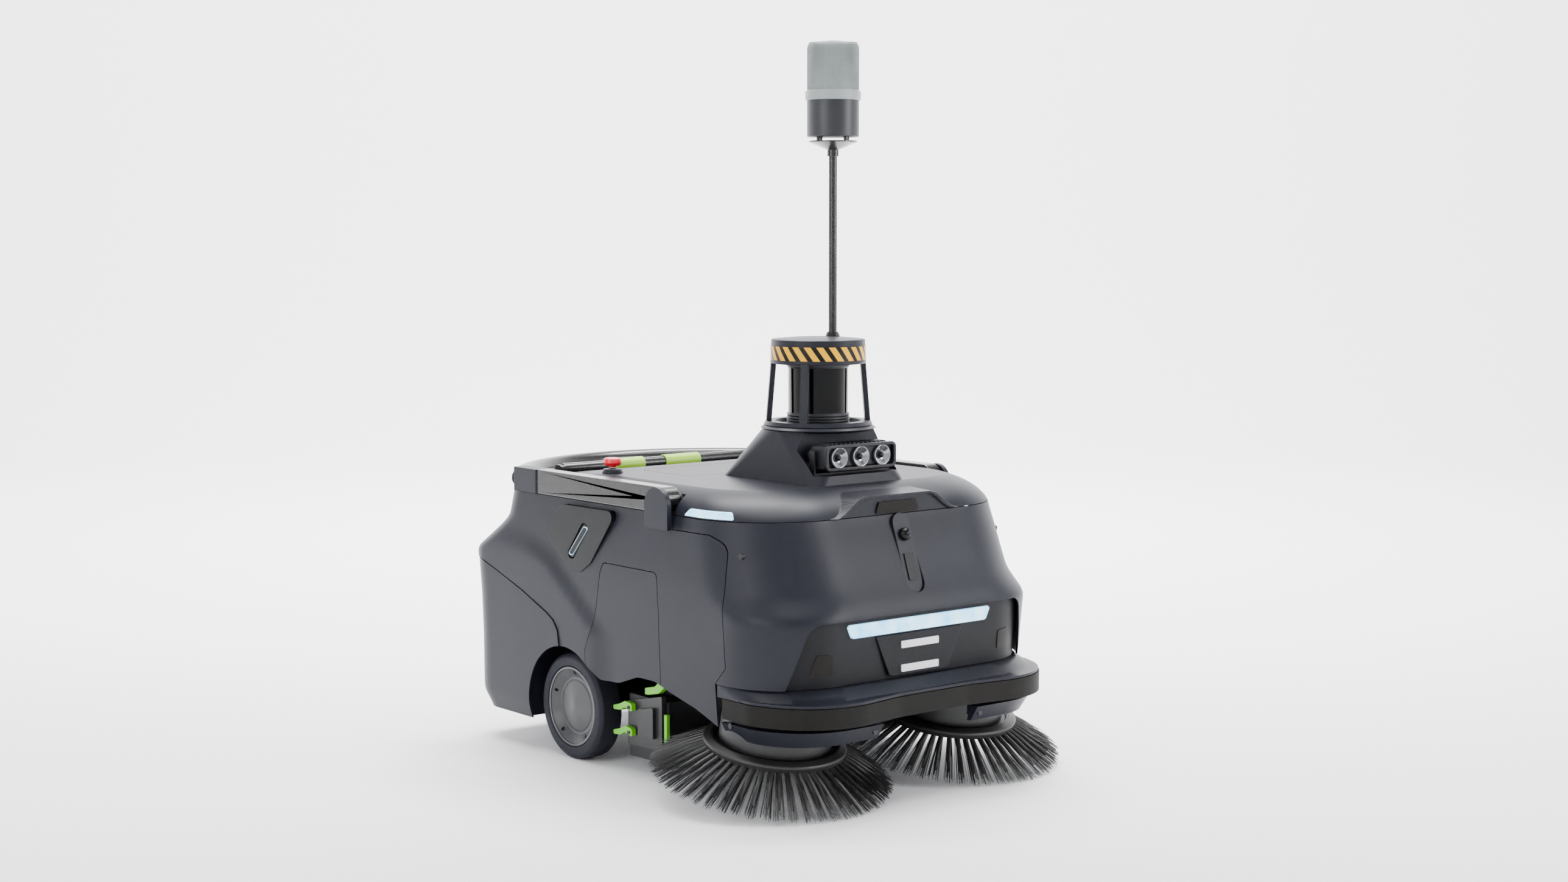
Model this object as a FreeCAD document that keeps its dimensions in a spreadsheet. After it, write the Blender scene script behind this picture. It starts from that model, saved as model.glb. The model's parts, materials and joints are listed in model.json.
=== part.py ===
import FreeCAD, Part
import math
import os

# Robotic floor sweeper. Outlines are drawn from the vertical axis of the scanner tower, with the
# front facing -Y and the floor at Z = 0. The placement shift_y then puts the origin at the middle
# of the whole machine's footprint.

V = FreeCAD.Vector
doc = FreeCAD.newDocument("floor_sweeper")

SIZES = [
    ("shift_y", -161.0), ("wall", 3.0), ("gap", 1.0),
    ("body_half", 284.0), ("seam_z", 426.0), ("deck_z", 466.0),
    ("tyre_radius", 86.0), ("tyre_width", 45.0), ("wheel_x", 229.0), ("wheel_y", 296.0),
    ("arch_radius", 100.0),
    ("frame_z", 190.0), ("frame_thick", 6.0),
    ("brush_x", 180.0), ("brush_y", -103.0), ("brush_z", 34.0), ("brush_tilt", 10.0),
    ("brush_tip", 177.5), ("disc_radius", 110.5), ("disc_rise", 46.0),
    ("roller_y", 130.0), ("roller_z", 50.0), ("roller_radius", 48.0), ("roller_half", 222.0),
    ("bumper_low", 135.0), ("bumper_tall", 30.0), ("bumper_thick", 14.0),
    ("tower_z", 545.0), ("cap_low", 647.0), ("cap_top", 685.0), ("cap_radius", 74.0),
    ("lidar_radius", 48.0), ("lidar_low", 551.0),
    ("mast_x", 30.0), ("mast_radius", 6.5), ("beacon_z", 995.0), ("beacon_radius", 40.0),
    ("lamp_y", -76.0), ("lamp_z", 507.0), ("lamp_half", 72.0),
    ("handle_x", 272.0), ("handle_y", 36.0), ("handle_z", 447.5), ("rail_tall", 39.0),
    ("rail_wide", 26.0), ("bar_apex", 590.0), ("bar_radius", 16.0),
    ("pin_radius", 6.0), ("running", 0.05), ("screw_radius", 4.5),
    ("caster_y", 37.0), ("caster_radius", 25.0), ("caster_trail", 12.0),
    ("stop_x", -212.0), ("stop_y", 262.0),
]
sheet = doc.addObject("Spreadsheet::Sheet", "sizes")
for row, (alias, value) in enumerate(SIZES, 1):
    sheet.set("A%d" % row, alias)
    sheet.set("B%d" % row, str(value))
    sheet.setAlias("B%d" % row, alias)
doc.recompute()


def size(alias):
    return float(getattr(sheet, alias))


XY = FreeCAD.Rotation()
YZ = FreeCAD.Rotation(V(1, 1, 1), 120)
XZ = FreeCAD.Rotation(V(1, 0, 0), 90)
parts = []


def bind(obj, prop, value):
    """A text value is an expression on the sheet; anything else is a plain number."""
    if isinstance(value, str):
        obj.setExpression(prop, value)
    else:
        setattr(obj, prop, value)


def keep(obj, label):
    """Names a finished sub-part and ties its place to the machine's origin."""
    obj.Label = label
    obj.setExpression(".Placement.Base.y", "sizes.shift_y + %.4f mm / 1 mm" % obj.Placement.Base.y)
    parts.append(obj)
    return obj


def box(low, span):
    """Block from its low corner; a span may be a sheet expression."""
    obj = doc.addObject("Part::Box", "block")
    for prop, value in zip(("Length", "Width", "Height"), span):
        bind(obj, prop, value)
    obj.Placement.Base = V(*low)
    return obj


def rod(radius, length, at, direction=(0, 0, 1)):
    """Cylinder that starts at a point and runs along a direction."""
    obj = doc.addObject("Part::Cylinder", "rod")
    bind(obj, "Radius", radius)
    bind(obj, "Height", length)
    obj.Placement = FreeCAD.Placement(V(*at), FreeCAD.Rotation(V(0, 0, 1), V(*direction)))
    return obj


def loop(points, radius=0.0):
    """Closed outline as lines, each corner rounded by an arc. A point may carry its own radius."""
    corners = [(V(p[0], p[1], 0), p[2] if len(p) > 2 else radius) for p in points]
    count = len(corners)
    arcs = []
    for i, (here, r) in enumerate(corners):
        back = (corners[i - 1][0] - here).normalize()
        ahead = (corners[(i + 1) % count][0] - here).normalize()
        half = back.getAngle(ahead) / 2
        if r <= 0 or abs(half - math.pi / 2) < 1e-3:
            arcs.append((here, None, here))
            continue
        reach = r / math.tan(half)
        middle = (back + ahead).normalize() * (r / math.sin(half))
        bulge = middle - (back + ahead).normalize() * r
        arcs.append((here + back * reach, here + bulge, here + ahead * reach))
    edges = []
    for i, (start, bulge, end) in enumerate(arcs):
        if bulge:
            edges.append(Part.Arc(start, bulge, end))
        edges.append(Part.LineSegment(end, arcs[(i + 1) % count][0]))
    return edges


def sketch(edges, at=(0, 0, 0), turn=XY):
    obj = doc.addObject("Sketcher::SketchObject", "outline")
    obj.Placement = FreeCAD.Placement(V(*at), turn)
    obj.addGeometry(edges, False)
    return obj


def slab(points, length, at=(0, 0, 0), turn=XY, radius=0.0, middle=False):
    """Outline pushed along its own normal."""
    obj = doc.addObject("Part::Extrusion", "slab")
    obj.Base = sketch(loop(points, radius), at, turn)
    obj.DirMode = "Normal"
    obj.Solid = True
    obj.Symmetric = middle
    bind(obj, "LengthFwd", length)
    return obj


def turned(points, at=(0, 0, 0), turn=XY, radius=0.0):
    """Half profile (distance from the axis, height) spun about the axis; turn sets the axis."""
    obj = doc.addObject("Part::Revolution", "turned")
    obj.Source = sketch(loop(points, radius), (0, 0, 0), XZ)
    obj.Axis = V(0, 0, 1)
    obj.Base = V(0, 0, 0)
    obj.Angle = 360
    obj.Solid = True
    obj.Placement = FreeCAD.Placement(V(*at), turn)
    return obj


def cut(base, *tools):
    obj = doc.addObject("Part::Cut", "cut")
    obj.Base = base
    obj.Tool = tools[0] if len(tools) == 1 else fuse(*tools)
    return obj


def fuse(*shapes):
    obj = doc.addObject("Part::MultiFuse", "fused")
    obj.Shapes = list(shapes)
    return obj


def common(*shapes):
    obj = doc.addObject("Part::MultiCommon", "common")
    obj.Shapes = list(shapes)
    return obj


def group(*shapes):
    """Separate solids that share one name."""
    obj = doc.addObject("Part::Compound", "group")
    obj.Links = list(shapes)
    return obj


def outline(half, front, rear, front_round, rear_round):
    """Plan of the body: flat front and rear, straight sides, round corners."""
    return loop([(-half, front, front_round), (half, front, front_round),
                 (half, rear, rear_round), (-half, rear, rear_round)])


def shell(label, sections):
    """PartDesign body lofted through plans (height, half, front, rear, front_round, rear_round)."""
    body = doc.addObject("PartDesign::Body", label)
    plane = [f for f in body.Origin.OriginFeatures if f.Role == "XY_Plane"][0]
    rings = []
    for height, half, front, rear, front_round, rear_round in sections:
        ring = body.newObject("Sketcher::SketchObject", label + "_plan")
        ring.AttachmentSupport = [(plane, "")]
        ring.MapMode = "FlatFace"
        ring.AttachmentOffset = FreeCAD.Placement(V(0, 0, height), XY)
        ring.addGeometry(outline(half, front, rear, front_round, rear_round), False)
        rings.append(ring)
    loft = body.newObject("PartDesign::AdditiveLoft", label + "_loft")
    loft.Profile = rings[0]
    loft.Sections = rings[1:]
    loft.Ruled = True
    body.Tip = loft
    return body


def inset(sections, amount):
    return [(z, w - amount, f + amount, r - amount, max(a - amount, 1), max(b - amount, 1))
            for z, w, f, r, a, b in sections]


HALF = size("body_half")
SEAM = size("seam_z")
DECK = size("deck_z")
WALL = size("wall")
GAP = size("gap")
WY = size("wheel_y")
TR = size("tyre_radius")

# ---------------------------------------------------------------- outer casing
UPPER = [(118, 281, -226, 583, 130, 60), (182, 282, -240, 583, 138, 60),
         (285, HALF, -247, 587, 140, 60), (321, HALF, -230, 592, 140, 60),
         (342, 283, -221, 556, 140, 60), (382, 280, -203, 505, 140, 60),
         (SEAM, 276, -184, 496, 140, 60)]
UNDER = [(54, 280, 250, 546, 5, 50), (80, HALF, 250, 575, 5, 60), (176, HALF, 250, 576, 5, 60),
         (245, HALF, 250, 580, 5, 60), (304, HALF, 250, 587, 5, 60)]
SEAM_LINE = [(12, 440), (12, 405), (-77, 405, 20), (-110, 390, 20), (-123, 211), (-98, 185), (-105, 100)]
BIN_LINE = [(308, 186), (312, 211, 6), (325, 226, 10), (344, 236), (416, 264), (490, 288), (545, 304)]


def casing(label, sections):
    """Hollow casing with one wall thickness, open at the bottom and the top."""
    inner = inset(sections, WALL)
    low, high = inner[0], inner[-1]
    inner = [(low[0] - 2,) + low[1:]] + inner[1:-1] + [(high[0] + 2,) + high[1:]]
    return cut(shell(label + "_outer", sections), shell(label + "_inner", inner))


def arch(extra=0.0, length=700):
    return rod(size("arch_radius") + extra, length, (-length / 2, WY, TR), (1, 0, 0))


def make_front_cover():
    front = slab(SEAM_LINE + [(-400, 100), (-400, 440)], 700, turn=YZ, middle=True)
    recess = slab([(-246, 160), (-213, 283, 24), (213, 283, 24), (246, 160)], 120,
                  at=(0, -160, 0), turn=XZ)
    under = box((-400, -400, 90), (800, 700, 94.4))
    socket = fuse(camera_pod(5), *camera_lenses())
    solid = cut(common(casing("front", UPPER), front), recess, under, socket, *screw_rods())
    return keep(solid, "front_cover")


def make_main_cover():
    """Both sides and the rear above the dust bin."""
    seam_gap = slab([(y + GAP, z + (0 if z < 380 else -GAP), *r) for y, z, *r in SEAM_LINE]
                    + [(-400, 100), (-400, 440)], 700, turn=YZ, middle=True)
    skirt = slab([(-140, 90), (-140, 115), (-105, 120), (-49, 139), (12, 153, 20), (55, 166, 30),
                  (100, 166, 30), (150, 147, 20), (198, 146, 10), (240, 170), (300, 170), (300, 90)],
                 700, turn=YZ, middle=True)
    below = slab([(p[0], p[1] + GAP) for p in BIN_LINE] + [(700, 304 + GAP), (700, 40), (300, 40)],
                 700, turn=YZ, middle=True)
    doors = [door_slab(GAP, side) for side in (-1, 1)]
    panels = [slab(PANEL, 10, at=(side * 283 - 5, 0, 0), turn=YZ) for side in (-1, 1)]
    slivers = box((-400, -400, 90), (800, 496, 35))
    solid = cut(casing("main", UPPER), seam_gap, skirt, below, arch(), slivers, *doors, *panels)
    return keep(solid, "main_cover")


DOOR = [(39, 138), (43, 280), (47, 334, 10), (188, 334, 10), (196, 318), (205, 274, 20), (217, 228),
        (235, 190), (235, 138)]


def door_slab(grow, side):
    middle_y = sum(p[0] for p in DOOR) / len(DOOR)
    points = [(p[0] + (grow if p[0] > middle_y else -grow), p[1] + (grow if p[1] > 300 else 0),
               *p[2:]) for p in DOOR]
    start = -320 if side < 0 else 262
    return slab(points, 58, at=(start, 0, 0), turn=YZ)


def make_side_door(side, name):
    skirt = slab([(0, 90), (0, 153), (12, 153, 20), (55, 166, 30), (100, 166, 30), (150, 147, 20),
                  (198, 146, 10), (240, 156), (300, 90)], 700, turn=YZ, middle=True)
    wheel_clear = arch(1.0)
    return keep(cut(common(casing("door", UPPER), door_slab(0, side)), skirt, wheel_clear), name)


def make_dust_bin():
    """Drawer at the rear: shaped outer wall, inner tray, grip channel around the rear."""
    outer = shell("bin_outer", UNDER)
    region = slab(BIN_LINE + [(700, 304), (700, 40), (300, 40)], 700, turn=YZ, middle=True)
    body = common(outer, region)
    hollow = inset(UNDER, 4.0)
    hollow = [(62,) + hollow[0][1:]] + hollow[1:-1] + [(310,) + hollow[-1][1:]]
    inner = cut(shell("bin_inner", hollow),
                box((-400, 549, 180), (800, 60, 66)),
                box((-400, 380, 180), (119, 250, 66)),
                box((281, 380, 180), (119, 250, 66)))
    clear = fuse(arch(), box((-400, 200, 0), (800, 138, 400)),
                 box((-400, 330, 0), (189, 73, 400)), box((211, 330, 0), (189, 73, 400)))
    grip_rear = slab([(560, 196), (566, 240), (640, 240), (640, 186)], 420, turn=YZ, middle=True,
                     radius=0)
    wall = cut(box((-211, 339, 56), (422, 4, 174)), box((-145, 330, 78), (290, 20, 60)))
    floor = box((-211, 339, 56), (422, 80, 6))
    cheeks = [box((x, 339, 56), (4, 68, 174)) for x in (-211, 207)]
    steps = [cut(box((x, 403, 56), (76, 4, 180)), arch()) for x in (-283, 207)]
    return keep(fuse(cut(body, inner, clear, grip_rear), wall, floor, *cheeks, *steps), "dust_bin")


def make_top_cover():
    """Deck above the shoulder seam, with the raised sensor hood at the front."""
    deck = shell("deck", [(SEAM, 276, -184, 496, 140, 60), (DECK, 229, -108, 290, 110, 50)])
    inner = shell("deck_inner", [(SEAM - 2, 272, -180, 492, 136, 56), (DECK - 4, 225, -104, 286, 106, 46)])
    hood = slab([(-125, SEAM), (-62, 457, 25), (62, 457, 25), (125, SEAM)], 92, at=(0, -100, 0), turn=XZ)
    recess = slab([(-112, SEAM - 1), (-56, 452, 20), (56, 452, 20), (112, SEAM - 1)], 20,
                  at=(0, -184, 0), turn=XZ)
    pockets = []
    for side in (-1, 1):
        low = 252 if side > 0 else -300
        pockets.append(box((low, 12, SEAM - 5), (48, 430, 60)))
    collar = turned([(0, DECK - 4), (17, DECK - 4), (17, DECK), (15, DECK + 6), (6.2, DECK + 6), (6.2, DECK + 3),
                     (0, DECK + 3)], (size("stop_x"), size("stop_y"), 0))
    lid = [(-150, 142), (150, 142), (150, 272), (-150, 272)]
    lid_inside = [(-148.5, 143.5), (148.5, 143.5), (148.5, 270.5), (-148.5, 270.5)]
    groove_floor = (0, 0, DECK - 1.2)
    groove = cut(slab(lid, 10, at=groove_floor, radius=14), slab(lid_inside, 10, at=groove_floor, radius=12.5))
    cover = cut(fuse(cut(deck, inner), hood), recess, groove, *pockets, *side_lights())
    return keep(fuse(cover, collar), "top_cover")


PANEL_DEPTH = 10


def panel_skin(label, near, far):
    """Curved layer that follows the front, between two depths behind its surface."""
    lower = UPPER[:3]
    return cut(shell(label + "_near", inset(lower, near)), shell(label + "_far", inset(lower, far)))


def make_front_panel():
    """Dark recessed panel below the front cover, with its raised middle plate."""
    face = slab([(-238, 184), (-211, 282, 23), (211, 282, 23), (238, 184)], 120, at=(0, -150, 0), turn=XZ)
    panel = common(panel_skin("panel", PANEL_DEPTH, PANEL_DEPTH + 4), face)
    plate = slab([(-88, 252), (-60, 189, 8), (60, 189, 8), (88, 252)], 9, at=(0, -229, 0), turn=XZ)
    return keep(cut(fuse(panel, plate), light_bar()), "front_panel")


def make_strips():
    strips = [slab([(-38, z), (38, z), (38, z + 11), (-38, z + 11)], 2, at=(0, -238, 0), turn=XZ,
                   radius=1.5) for z in (194, 230)]
    return keep(group(*strips), "reflective_strips")


def make_windows():
    panes = [slab([(-42, 429), (-37, 446), (37, 446), (42, 429)], 3, at=(0, -184.2, 0), turn=XZ, radius=4)]
    skin = panel_skin("pane", PANEL_DEPTH - 2, PANEL_DEPTH)
    for side in (-1, 1):
        edge = [(side * 169, 204), (side * 169, 234), (side * 196, 236), (side * 206, 205)]
        panes.append(common(skin, slab(edge, 120, at=(0, -150, 0), turn=XZ)))
    return keep(group(*panes), "sensor_windows")


def make_lights():
    """Front light bar and the slim strips let into the shoulder beside each handle pivot."""
    return keep(group(light_bar(), *side_lights()), "light_strips")


def light_bar():
    return slab([(-147, 276, 4), (-136.5, 255, 6), (136.5, 255, 6), (147, 276, 4)], 10,
                at=(0, -231, 0), turn=XZ)


def side_lights():
    strips = []
    outer = shell("light_outer", [(SEAM + 1, 276, -183, 496, 140, 60), (SEAM + 15, 259, -155, 420, 130, 55)])
    inner = shell("light_inner", [(SEAM, 271, -178, 491, 135, 55), (SEAM + 16, 252, -150, 415, 125, 50)])
    band = cut(outer, inner)
    for side in (-1, 1):
        low = -300 if side < 0 else 200
        strips.append(common(band, slab([(-112, SEAM), (-101, 440, 8), (-25, 440, 8), (-14, SEAM)], 100,
                                        at=(low, 0, 0), turn=YZ)))
    return strips


LEAN = FreeCAD.Rotation(V(1, 0, 0), 90 - 19)


def camera_pod(depth):
    return slab([(-17, -62, 16.5), (17, -62, 16.5), (17, 62, 16.5), (-17, 62, 16.5)], depth,
                at=(0, -206, 367), turn=LEAN)


def camera_lenses():
    ball = doc.addObject("Part::Sphere", "ball")
    ball.Radius = 10
    ball.Placement.Base = V(0, -203.5, 396)
    frame = slab([(-9.5, -42), (9.5, -42), (9.5, 0), (-9.5, 0)], 5, at=(0, -208, 367), turn=LEAN, radius=2)
    return ball, frame


def make_camera():
    """Stadium-shaped pod on the front, with its ball lens and its depth window."""
    keep(cut(camera_pod(5), *camera_lenses()), "front_camera_pod")
    keep(group(*camera_lenses()), "front_camera_lens")


# ---------------------------------------------------------------- bumper and front skirt
def bumper_plan(offset):
    """Plan of the bumper: two slightly forward lobes, round shoulders, sides drawn in."""
    o = offset
    return [(-281 + o, -112), (-284 + o, -180, 60 - o), (-242 + o, -286 + o, 118 - o),
            (-150, -286 + o, 100), (-70, -273 + o, 120), (70, -273 + o, 120), (150, -286 + o, 100),
            (242 - o, -286 + o, 118 - o), (284 - o, -180, 60 - o), (281 - o, -112)]


def make_bumper():
    low, tall = size("bumper_low"), "sizes.bumper_tall"
    outer = slab(bumper_plan(0), tall, at=(0, 0, low))
    inner = slab(bumper_plan(size("bumper_thick")) + [(270, -60), (-270, -60)], 60, at=(0, 0, low - 10))
    strip = cut(outer, inner)
    guides = [rod(4, 38, (x, -274, low + 15), (0, 1, 0)) for x in (-150, 150)]
    return keep(fuse(strip, *guides), "bumper")


def make_front_skirt():
    """Sloping shelf above the bumper, the wall behind it and the lobed skirt under it."""
    shelf = shell("shelf", [(166, 282, -268, 100, 118, 5), (184, 282, -240, 100, 138, 5)])
    shelf_in = shell("shelf_in", [(165.5, 274, -232, 110, 118, 5), (185, 274, -228, 110, 118, 5)])
    rim = slab(bumper_plan(2), 4, at=(0, 0, 166))
    rim_in = slab(bumper_plan(40) + [(240, -60), (-240, -60)], 10, at=(0, 0, 163))
    wall = shell("skirt", [(112, 258, -246, 100, 100, 5), (170, 262, -250, 100, 100, 5)])
    wall_in = shell("skirt_in", [(111, 254, -242, 110, 96, 5), (171, 258, -246, 110, 96, 5)])
    lobes = shell("lobes", [(103, 262, -250, 100, 96, 5), (127, 274, -266, 100, 110, 5)])
    lobes_in = shell("lobes_in", [(102, 254, -242, 110, 88, 5), (128, 262, -250, 110, 96, 5)])
    middle = box((-96, -400, 90), (192, 300, 44))
    behind = box((-400, -102, 60), (800, 300, 140))
    guide_holes = [rod("4 + sizes.running", 60, (x, -280, size("bumper_low") + 15), (0, 1, 0))
                   for x in (-150, 150)]
    ring = fuse(cut(shelf, shelf_in), cut(rim, rim_in), cut(wall, wall_in), cut(lobes, lobes_in))
    shroud_room = []
    for side in (-1, 1):
        at, tilt = brush_frame(side)
        shroud_room.append(turned([(0, size("disc_rise")), (88, size("disc_rise")), (88, 170), (0, 170)], at, tilt))
    return keep(cut(ring, middle, behind, *guide_holes, *shroud_room, *screw_rods()), "front_skirt")


# ---------------------------------------------------------------- frame and running gear
def make_base_frame():
    """Pressed floor plate with the bin's rails, the bulkhead above it and the caster socket."""
    body = doc.addObject("PartDesign::Body", "floor_plate")
    plane = [f for f in body.Origin.OriginFeatures if f.Role == "XY_Plane"][0]
    plan = body.newObject("Sketcher::SketchObject", "frame_plan")
    plan.AttachmentSupport = [(plane, "")]
    plan.MapMode = "FlatFace"
    plan.setExpression(".AttachmentOffset.Base.z", "sizes.frame_z")
    plan.addGeometry(outline(262, -215, 330, 110, 10), False)
    plate = body.newObject("PartDesign::Pad", "frame_plate")
    plate.Profile = plan
    plate.setExpression("Length", "sizes.frame_thick")
    holes = body.newObject("Sketcher::SketchObject", "frame_openings")
    holes.AttachmentSupport = [(plane, "")]
    holes.MapMode = "FlatFace"
    holes.setExpression(".AttachmentOffset.Base.z", "sizes.frame_z + sizes.frame_thick")
    holes.addGeometry(loop([(-60, -60), (60, -60), (60, -10), (-60, -10)], 10), False)
    holes.addGeometry(loop([(-160, 230), (160, 230), (160, 300), (-160, 300)], 10), False)
    pocket = body.newObject("PartDesign::Pocket", "frame_cut")
    pocket.Profile = holes
    pocket.Length = 20
    body.Tip = pocket
    rails = [box((x, 300, 312), (16, 230, 10)) for x in (-216, 200)]
    posts = [box((x, 300, 196), (16, 16, 116)) for x in (-216, 200)]
    bulkhead = box((-216, 300, 316), (432, 230, 6))
    y = size("caster_y")
    caster = fuse(box((-30, y - 30, size("frame_z") - 4), (60, 60, 4)), rod(20, 110, (0, y, 76)))
    stem_hole = rod("sizes.pin_radius + sizes.running", 60, (0, y, 60))
    return keep(fuse(body, *rails, *posts, bulkhead, cut(caster, stem_hole)), "base_frame")


def make_wheel(side, name):
    """Solid tyre on a dished hub that holds its own motor."""
    r, w = TR, size("tyre_width")
    turn = FreeCAD.Rotation(V(0, 0, 1), V(side, 0, 0))
    at = (side * size("wheel_x"), WY, TR)
    tyre = turned([(66, 0, 2), (78, 0, 4), (r, 5, 5), (r, w - 5, 5), (80, w, 6), (66, w, 3)], at, turn)
    keep(tyre, "drive_tyre_" + name)
    hub = turned([(8.0 + size("running"), 0), (60, 0, 3), (65.9, 4), (65.9, w - 3, 2), (61, w - 3, 2),
                  (45, w - 14, 6), (40, w - 12, 4), (0, w - 6), (0, 34), (8.0 + size("running"), 34)],
                 at, turn)
    screws = []
    for k in range(5):
        angle = math.radians(72 * k + 20)
        y, z = WY + 55 * math.cos(angle), TR + 55 * math.sin(angle)
        screws.append(rod(3, 12, (side * (size("wheel_x") + w - 13), y, z), (side, 0, 0)))
    keep(cut(hub, *screws), "hub_motor_" + name)


def make_axles():
    arms = []
    for side in (-1, 1):
        low = 207 if side > 0 else -219
        plate = box((low, WY - 30, 62), (12, 60, 128))
        axle = rod(8, 46, (side * 216, WY, TR), (side, 0, 0))
        arms.append(fuse(plate, axle))
    return keep(group(*arms), "axle_brackets")


def brush_frame(side):
    at = (side * size("brush_x"), size("brush_y"), size("brush_z"))
    return at, FreeCAD.Rotation(V(1, 0, 0), size("brush_tilt"))


def make_side_brush(side, name):
    at, tilt = brush_frame(side)
    tip, disc, rise = size("brush_tip"), size("disc_radius"), size("disc_rise")
    hub = turned([(6 + size("running"), rise + 4), (88, rise + 4, 2), (90, rise - 2, 2), (disc - 3, rise - 2, 2),
                  (disc, rise + 8, 4), (96, rise + 14, 5), (92, rise + 8), (6 + size("running"), rise + 8)],
                 at, tilt)
    keep(hub, "side_brush_disc_" + name)
    tufts = turned([(88, rise - 2.2), (106, rise - 2.2), (tip, 3), (tip - 4, 0), (tip - 22, 0)], at, tilt)
    keep(tufts, "side_brush_bristles_" + name)


def make_brush_drives():
    """Gear motor of each side brush inside its round shroud, hung from the frame."""
    drives = []
    for side in (-1, 1):
        at, tilt = brush_frame(side)
        rise = size("disc_rise")
        shroud = turned([(6, rise + 1), (6, rise + 10), (86, rise + 10), (84, rise + 75), (78, rise + 75),
                         (80, rise + 14), (30, rise + 14), (30, rise + 100), (0, rise + 100), (0, rise + 1)],
                        at, tilt)
        drives.append(cut(shroud, box((-400, -400, size("frame_z") - 0.2), (800, 800, 100))))
    return keep(group(*drives), "side_brush_drives")


def make_roller():
    half = size("roller_half")
    at = (-half, size("roller_y"), size("roller_z"))
    turn = FreeCAD.Rotation(V(0, 0, 1), V(1, 0, 0))
    r = size("roller_radius")
    core = turned([(8 + size("running"), 0), (26, 0), (26, 2 * half), (8 + size("running"), 2 * half)], at, turn)
    keep(core, "roller_core")
    keep(turned([(26.1, 6), (r, 8, 2), (r, 2 * half - 8, 2), (26.1, 2 * half - 6)], at, turn), "roller_bristles")


def make_roller_housing():
    """Tunnel over the roller with its suction throat, end plates and bearing pins."""
    y, r = size("roller_y"), size("roller_radius")
    tunnel = cut(box((-238, y - r - 5, 22), (476, 2 * r + 9, 100)),
                 box((-232, y - r - 3, 0), (464, 2 * r + 5, 118)))
    throat = cut(box((-150, y + r + 1, 70), (300, 157, 76)), box((-144, y + r - 10, 76), (288, 180, 64)))
    pins = [rod(8, 26, (side * 238.9, y, size("roller_z")), (-side, 0, 0)) for side in (-1, 1)]
    hangers = [box((x, y - 10, 122), (20, 40, size("frame_z") - 122)) for x in (-200, 180)]
    return keep(fuse(tunnel, throat, *pins, *hangers), "roller_housing")


def make_cassette_ends():
    """End caps of the roller; the left one has the lugs that its two latches turn on."""
    y = size("roller_y")
    caps = []
    for side in (-1, 1):
        x = side * 239
        plate = slab([(y - 46, 46, 5), (y + 44, 42, 5), (y + 44, 112, 3), (y - 46, 132, 3)], 8,
                     at=(x if side > 0 else x - 8, 0, 0), turn=YZ)
        step = slab([(y - 30, 62, 3), (y + 10, 60, 3), (y + 10, 104, 3), (y - 30, 112, 3)], 14,
                    at=(x if side > 0 else x - 14, 0, 0), turn=YZ)
        pins = [rod(3.0, 19, (x, y + 30, z), (side, 0, 0)) for z in (64, 104)] if side < 0 else []
        caps.append(fuse(plate, step, *pins))
    keep(group(*caps), "roller_end_caps")
    x = -239
    bracket = slab([(y - 12, 130), (y - 40, 136), (y - 58, 150), (y - 58, 160), (y - 50, 162), (y - 30, 146),
                    (y - 4, 140), (y - 4, 130)], 10, at=(x - 10, 0, 0), turn=YZ)
    keep(group(bracket, box((x - 6, y - 56, 60), (6, 7, 44))), "latch_brackets")
    for level, z in (("lower", 64), ("upper", 104)):
        lever = slab([(y + 22, z - 6, 3), (y + 22, z + 7, 5), (y + 40, z + 9, 4), (y + 56, z + 2, 4),
                      (y + 72, z - 2, 3), (y + 72, z - 9, 3), (y + 52, z - 7, 3), (y + 42, z - 1, 2)],
                     8, at=(x - 17, 0, 0), turn=YZ)
        hole = rod("3.0 + sizes.running", 30, (x - 20, y + 30, z), (1, 0, 0))
        keep(cut(lever, hole), level + "_latch")


def make_caster():
    y, r, trail = size("caster_y"), size("caster_radius"), size("caster_trail")
    stem = rod("sizes.pin_radius", 50, (0, y, 62))
    crown = rod(17, 12, (0, y, 62))
    fork = [box((x, y - 6, r - 6), (4, trail + 14, 74 - r)) for x in (-16, 12)]
    crown_box = box((-16, y - 10, 62), (32, trail + 18, 8))
    axle = rod(3, 32, (-16, y + trail, r), (1, 0, 0))
    keep(cut(fuse(stem, crown, crown_box, *fork, axle), box((-40, y - 40, 74), (26, 80, 30))), "caster_fork")
    wheel = turned([(3 + size("running"), 0), (r - 2, 0), (r, 3, 2), (r, 19, 2), (r - 2, 22),
                    (3 + size("running"), 22)], (-11, y + trail, r), FreeCAD.Rotation(V(0, 0, 1), V(1, 0, 0)))
    keep(wheel, "caster_wheel")


# ---------------------------------------------------------------- tower
def make_pedestal():
    base = sketch(loop([(-95, -108), (95, -108), (95, 134), (-95, 134)], 24), (0, 0, DECK))
    top = sketch(loop([(-86, -86), (86, -86), (86, 86), (-86, 86)], 84), (0, 0, size("tower_z")))
    loft = doc.addObject("Part::Loft", "pedestal_loft")
    loft.Sections = [base, top]
    loft.Solid = True
    loft.Ruled = True
    recess = slab([(-50, 480, 8), (-50, size("tower_z") + 20), (-200, size("tower_z") + 20), (-200, 480)], 172,
                  turn=YZ, middle=True)
    ring = turned([(40, size("tower_z") - 3), (84, size("tower_z") - 3), (91, size("tower_z") + 1),
                   (84, size("tower_z") + 6), (40, size("tower_z") + 6)])
    return keep(fuse(cut(loft, recess), ring), "tower_pedestal")


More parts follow.
